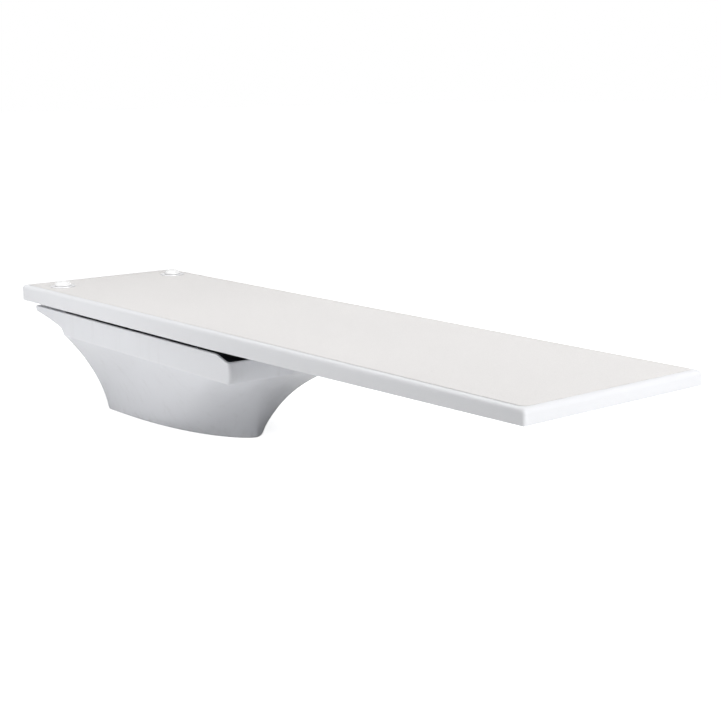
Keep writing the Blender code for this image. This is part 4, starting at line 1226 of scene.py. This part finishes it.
def all_four(prefix):
    """The names of a piece's four nodes."""
    return [f"{prefix}_{place}_{side}" for place in ("front", "rear") for side, _ in SIDES]


def heel_caps():
    """The domed caps over the heel bolts."""
    _, height, seat = round_size("bolt_cap_left")
    nodes = both_sides("bolt_cap")
    repeated("heel_caps", cap_source(height), nodes, seat, cap_plastic(), "board")


def heel_washers():
    """The broad crowned washers on the board's heel."""
    radius, height, seat = round_size("top_washer_left")
    source = rounded_washer("washer_source", HEEL_BORE, radius, height, edge=0.0014, crown=0.0004)
    repeated("heel_washers", source, both_sides("top_washer"), seat, turned_steel(), "board")


def bolts(name, nodes, radius, plain):
    """Hex bolts whose shank is plain over that share of its length."""
    source, seat = bolt_source(nodes[0], radius, plain)
    repeated(name, source, nodes, seat, bright_steel(), "base")


def nuts(name, nodes, radius):
    """Hex nuts."""
    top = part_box(nodes[0])[1].z
    repeated(name, nut_source(nodes[0], radius), nodes, top, bright_steel(), "base")


def frame_fasteners():
    """The bolts and nuts of the heel and the frame, and the washers under the lip."""
    bolts("heel_bolts", both_sides("heel_bolt"), HEEL_SHANK, plain=0.55)
    nuts("heel_nuts", both_sides("heel_nut"), HEEL_SHANK)
    bolts("beam_bolts", all_four("beam_bolt"), BEAM_SHANK, plain=0.62)
    nuts("beam_nuts", all_four("beam_nut"), BEAM_SHANK)
    bolts("leg_bolts", all_four("leg_bolt"), LEG_SHANK, plain=0.2)
    radius, height, seat = round_size("heel_washer_left")
    source = rounded_washer("lower_source", LIP_BORE, radius, height, edge=0.0008)
    repeated("lower_washers", source, both_sides("heel_washer"), seat, bright_steel(), "base")


def heel_isolators(bulge=0.0010, steps=12):
    """Rubber rings between lip and board, a little barrelled."""
    radius, height, seat = round_size("heel_isolator_left")
    profile = [(HEEL_BORE, 0.0)]
    for k in range(steps + 1):
        angle = math.pi * k / steps
        profile.append((radius - bulge * (1 - math.sin(angle)), height * (1 - math.cos(angle)) / 2))
    profile.append((HEEL_BORE, height))
    source = turned("isolator_source", profile)
    repeated("heel_isolators_pair", source, both_sides("heel_isolator"), seat, rubber(), "base")


def fulcrum_rubber(crown=0.005, corner=0.001, end=0.0012, ripples=14, steps=96):
    """The crowned fulcrum pad with grooves along it."""
    groove = settings("hardware").pad_groove
    low, high = PAD_LOW, PAD_HIGH
    middle = (low + high) / 2
    half = (high.x - low.x) / 2
    shoulder = high.z - crown
    foot = low.z + corner
    profile = [(-half, foot), (-half + corner, low.z), (half - corner, low.z), (half, foot)]
    for k in range(steps + 1):
        angle = math.pi * k / steps
        ripple = groove * max(0.0, math.sin(angle)) * (0.5 - 0.5 * math.cos(angle * ripples))
        profile.append((half * math.cos(angle), shoulder + (crown - ripple) * math.sin(angle)))
    rings = []
    for y, inset in ((low.y, end), (low.y + end, 0.0), (high.y - end, 0.0), (high.y, end)):
        ring = []
        for x, z in profile:
            ring.append((middle.x + x * (1 - inset / half), y, max(low.z, z - inset * (z > shoulder))))
        rings.append(ring)
    pad = piece("fulcrum_rubber", *loft(rings), rubber(), DOMED_SHARP)
    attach(pad, "base")
    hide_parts("fulcrum_pad")
    arm = middle.x + half - ROCK["pos_m"][0]
    travel = arm * math.sin(math.radians(ROCK["range_deg"][1]))
    height = high.z - low.z
    1 - travel / height
    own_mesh(pad)


def weld_tree():
    """Runs a rippled weld bead along the edges of a mesh."""
    graph, given, leave = geometry_tree(
        "weld_bead", {"Width": "Float", "Pitch": "Float", "Material": "Material"})
    curve = graph.node("GeometryNodeMeshToCurve", None, {"Mesh": given["Geometry"]})
    spread = graph.node("GeometryNodeCurveToPoints", {"mode": "LENGTH"}, {
        "Curve": curve, "Length": given["Pitch"]})
    turn = Signal(graph, spread.socket.node.outputs["Rotation"])
    drop = graph.node("GeometryNodeMeshIcoSphere", None, {"Radius": 0.5, "Subdivisions": 2})
    size = graph.node("ShaderNodeCombineXYZ", None, {
        0: given["Width"], 1: given["Width"], 2: given["Width"] * 0.85})
    drops = graph.node("GeometryNodeInstanceOnPoints", None, {
        "Points": spread, "Instance": drop, "Rotation": turn, "Scale": size})
    return finished(graph, drops, given["Material"], leave)


def leg_welds():
    """Weld beads where each leg meets its rail and its own foot flange."""
    points, edges = [], []
    rail_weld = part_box("rail_left")[0].z - RAIL_WELD_DROP
    for place in ("rear", "front"):
        for side, sign in SIDES:
            node = f"leg_{place}_{side}"
            middle = centre(node).x
            foot_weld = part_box(node)[0].z + FLANGE_WELD_RISE
            foot_y = centre(f"leg_bolt_{place}_{side}").y + sign * LEG_FOOT_OFFSET
            for y, z in ((centre("rail_" + side).y, rail_weld), (foot_y, foot_weld)):
                start = len(points)
                points += [(middle + a * WELD_HALF, y + b * WELD_HALF, z) for a, b in SQUARE]
                edges += [(start + k, start + (k + 1) % 4) for k in range(4)]
    beads = guide("leg_welds", points, edges)
    sizes = settings("hardware")
    grown(beads, weld_tree(), {
        "Width": sizes.weld_width, "Pitch": sizes.weld_pitch, "Material": weld_metal()})
    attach(beads, "base")


def paint(nodes, material):
    """Gives CAD nodes that stay in view a finish."""
    for node in nodes:
        mesh = frame["nodes"][node].data
        mesh.materials.clear()
        mesh.materials.append(material)


def dress_frame():
    """Finishes the pieces that keep their CAD shapes."""
    steel = ["base_plate", "fulcrum_beam", "rear_beam", "heel_backing_bar"]
    paint(steel + both_sides("rail") + all_four("leg"), frame_paint())
    paint(["board_core"], timber())
    paint(both_sides("board_bushing"), nylon())


# Stage

def white_world():
    """A world that the camera, mirrors and glass see as white, and that lights by the ambient share."""
    world = bpy.data.worlds.new("studio")
    world.use_nodes = True
    graph = Graph(world.node_tree)
    back = world.node_tree.nodes["Background"]
    ray = world.node_tree.nodes.new("ShaderNodeLightPath")
    seen = Signal(graph, ray.outputs["Is Camera Ray"])
    for name in ("Is Glossy Ray", "Is Transmission Ray"):
        seen = seen.math("MAXIMUM", Signal(graph, ray.outputs[name]))
    ambient = settings("studio").ambient
    graph.feed(back.inputs["Strength"], seen * (1.0 - ambient) + ambient)
    back.inputs["Color"].default_value = (1, 1, 1, 1)
    bpy.context.scene.world = world


def floor_finish():
    """White floor that keeps soft shadows near the object and is plain white to the camera beyond."""
    finish = Finish("studio_floor")
    graph = finish.graph
    across, along = finish.axis("Y"), finish.axis("X") - FLOOR_MIDDLE
    reach = (across * across + along * along).math("SQRT")
    glow = graph.remap(reach, SHADOWS_FADE, SHADOWS_END, settings("studio").floor_glow, 1.0)
    seen = glow * graph.node("ShaderNodeLightPath")
    tone = settings("studio").floor_tone
    return finish.set(
        base_color=(tone, tone, tone, 1), roughness=0.9, specular_ior_level=0.1,
        emission_color=graph.node("ShaderNodeCombineColor", None, {0: seen, 1: seen, 2: seen}),
        emission_strength=1.0)


def studio_floor():
    """A wide floor just under the deck's level."""
    corners = [(a * FLOOR_REACH, b * FLOOR_REACH, -FLOOR_DROP) for a, b in SQUARE]
    floor = piece("studio_floor", corners, [(0, 1, 2, 3)], floor_finish())


def soft_light(name, watts, at, towards, width, height):
    """A large rectangular light that the camera doesn't see."""
    data = bpy.data.lights.new(name, "AREA")
    data.shape = "RECTANGLE"
    data.size = width
    data.size_y = height
    data.energy = watts
    lamp = linked(name, data)
    lamp.location = at
    lamp.rotation_euler = (Vector(towards) - Vector(at)).to_track_quat("-Z", "Y").to_euler()
    lamp.visible_camera = False


def camera():
    """The photograph's view: a lens near 67 mm, low on the near side and beyond the board's tip."""
    studio = settings("studio")
    around = math.radians(studio.azimuth)
    above = math.radians(studio.elevation)
    level = math.cos(above)
    back = Vector((math.sin(around) * level, -math.cos(around) * level, math.sin(above)))
    right = Vector((math.cos(around), math.sin(around), 0.0))
    turn = Matrix((right, back.cross(right), back)).transposed().to_4x4()
    roll = Euler((0, 0, math.radians(studio.roll))).to_matrix().to_4x4()
    data = bpy.data.cameras.new("photo_camera")
    data.lens = studio.focal
    data.sensor_width = 36.0
    data.sensor_fit = "HORIZONTAL"
    eye = linked("photo_camera", data)
    place = Vector((BOARD_LOW.x + EYE_BEYOND_HEEL, EYE_ASIDE, EYE_HEIGHT))
    eye.matrix_world = Matrix.Translation(place) @ turn @ roll
    bpy.context.scene.camera = eye


def stage():
    """The world, the floor, the lights and the camera."""
    studio = settings("studio")
    white_world()
    studio_floor()
    for name, at, towards, width, height in LIGHTS:
        soft_light(name, getattr(studio, name.removesuffix("_softbox")), at, towards, width, height)
    camera()
    bpy.context.scene.view_settings.view_transform = "Standard"


# Operators, in the order in which main calls them

class STAND_OT_base(bpy.types.Operator):
    """Model the moulded base with its bands, lip, rim and open well"""
    bl_idname = "stand.base"
    bl_label = "Moulded base"

    def execute(self, context):
        moulded_base()
        return {"FINISHED"}


class STAND_OT_board(bpy.types.Operator):
    """Model the board's rounded skin round its core"""
    bl_idname = "stand.board"
    bl_label = "Board"

    def execute(self, context):
        board_skin()
        return {"FINISHED"}


class STAND_OT_tread(bpy.types.Operator):
    """Model the gritty tread with Geometry Nodes grains"""
    bl_idname = "stand.tread"
    bl_label = "Tread"

    def execute(self, context):
        tread_layer()
        return {"FINISHED"}


class STAND_OT_heel(bpy.types.Operator):
    """Model the caps and washers on the board's heel"""
    bl_idname = "stand.heel"
    bl_label = "Heel caps and washers"

    def execute(self, context):
        heel_caps()
        heel_washers()
        return {"FINISHED"}


class STAND_OT_fasteners(bpy.types.Operator):
    """Model the threaded bolts, nuts and lower washers"""
    bl_idname = "stand.fasteners"
    bl_label = "Bolts and nuts"

    def execute(self, context):
        frame_fasteners()
        return {"FINISHED"}


class STAND_OT_rubber(bpy.types.Operator):
    """Model the fulcrum pad and the heel isolators"""
    bl_idname = "stand.rubber"
    bl_label = "Rubber"

    def execute(self, context):
        heel_isolators()
        fulcrum_rubber()
        return {"FINISHED"}


class STAND_OT_frame(bpy.types.Operator):
    """Finish the steel frame, the core and the bushings, and weld the legs"""
    bl_idname = "stand.frame"
    bl_label = "Steel frame"

    def execute(self, context):
        dress_frame()
        leg_welds()
        return {"FINISHED"}


class STAND_OT_stage(bpy.types.Operator):
    """Set up the floor, the soft lights and the camera"""
    bl_idname = "stand.stage"
    bl_label = "Stage"

    def execute(self, context):
        stage()
        return {"FINISHED"}


GROUPS = {
    "pedestal": PedestalSizes, "bands": BandSizes, "board": BoardSizes,
    "hardware": HardwareSizes, "colours": FinishColours, "studio": StudioSettings,
}
OPERATORS = (
    STAND_OT_base, STAND_OT_board, STAND_OT_tread, STAND_OT_heel,
    STAND_OT_fasteners, STAND_OT_rubber, STAND_OT_frame, STAND_OT_stage,
)


class STAND_PT_panel(bpy.types.Panel):
    """Lists the pieces that the add-on models"""
    bl_idname = "STAND_PT_panel"
    bl_label = "Diving stand"
    bl_space_type = "VIEW_3D"
    bl_region_type = "UI"
    bl_category = "Diving stand"

    def draw(self, context):
        for operator in OPERATORS:
            self.layout.operator(operator.bl_idname)
        for name, group in GROUPS.items():
            box = self.layout.box()
            box.label(text=name.capitalize())
            for key in group.__annotations__:
                box.prop(settings(name), key)


def register():
    for name, group in GROUPS.items():
        bpy.utils.register_class(group)
        setattr(bpy.types.Scene, "stand_" + name, bpy.props.PointerProperty(type=group))
    for kind in (*OPERATORS, STAND_PT_panel):
        bpy.utils.register_class(kind)


def unregister():
    for kind in reversed((*OPERATORS, STAND_PT_panel)):
        bpy.utils.unregister_class(kind)
    for name, group in GROUPS.items():
        delattr(bpy.types.Scene, "stand_" + name)
        bpy.utils.unregister_class(group)


def main():
    register()
    bpy.ops.stand.base()
    bpy.ops.stand.board()
    bpy.ops.stand.tread()
    bpy.ops.stand.heel()
    bpy.ops.stand.fasteners()
    bpy.ops.stand.rubber()
    bpy.ops.stand.frame()
    bpy.ops.stand.stage()


if __name__ == "__main__":
    main()
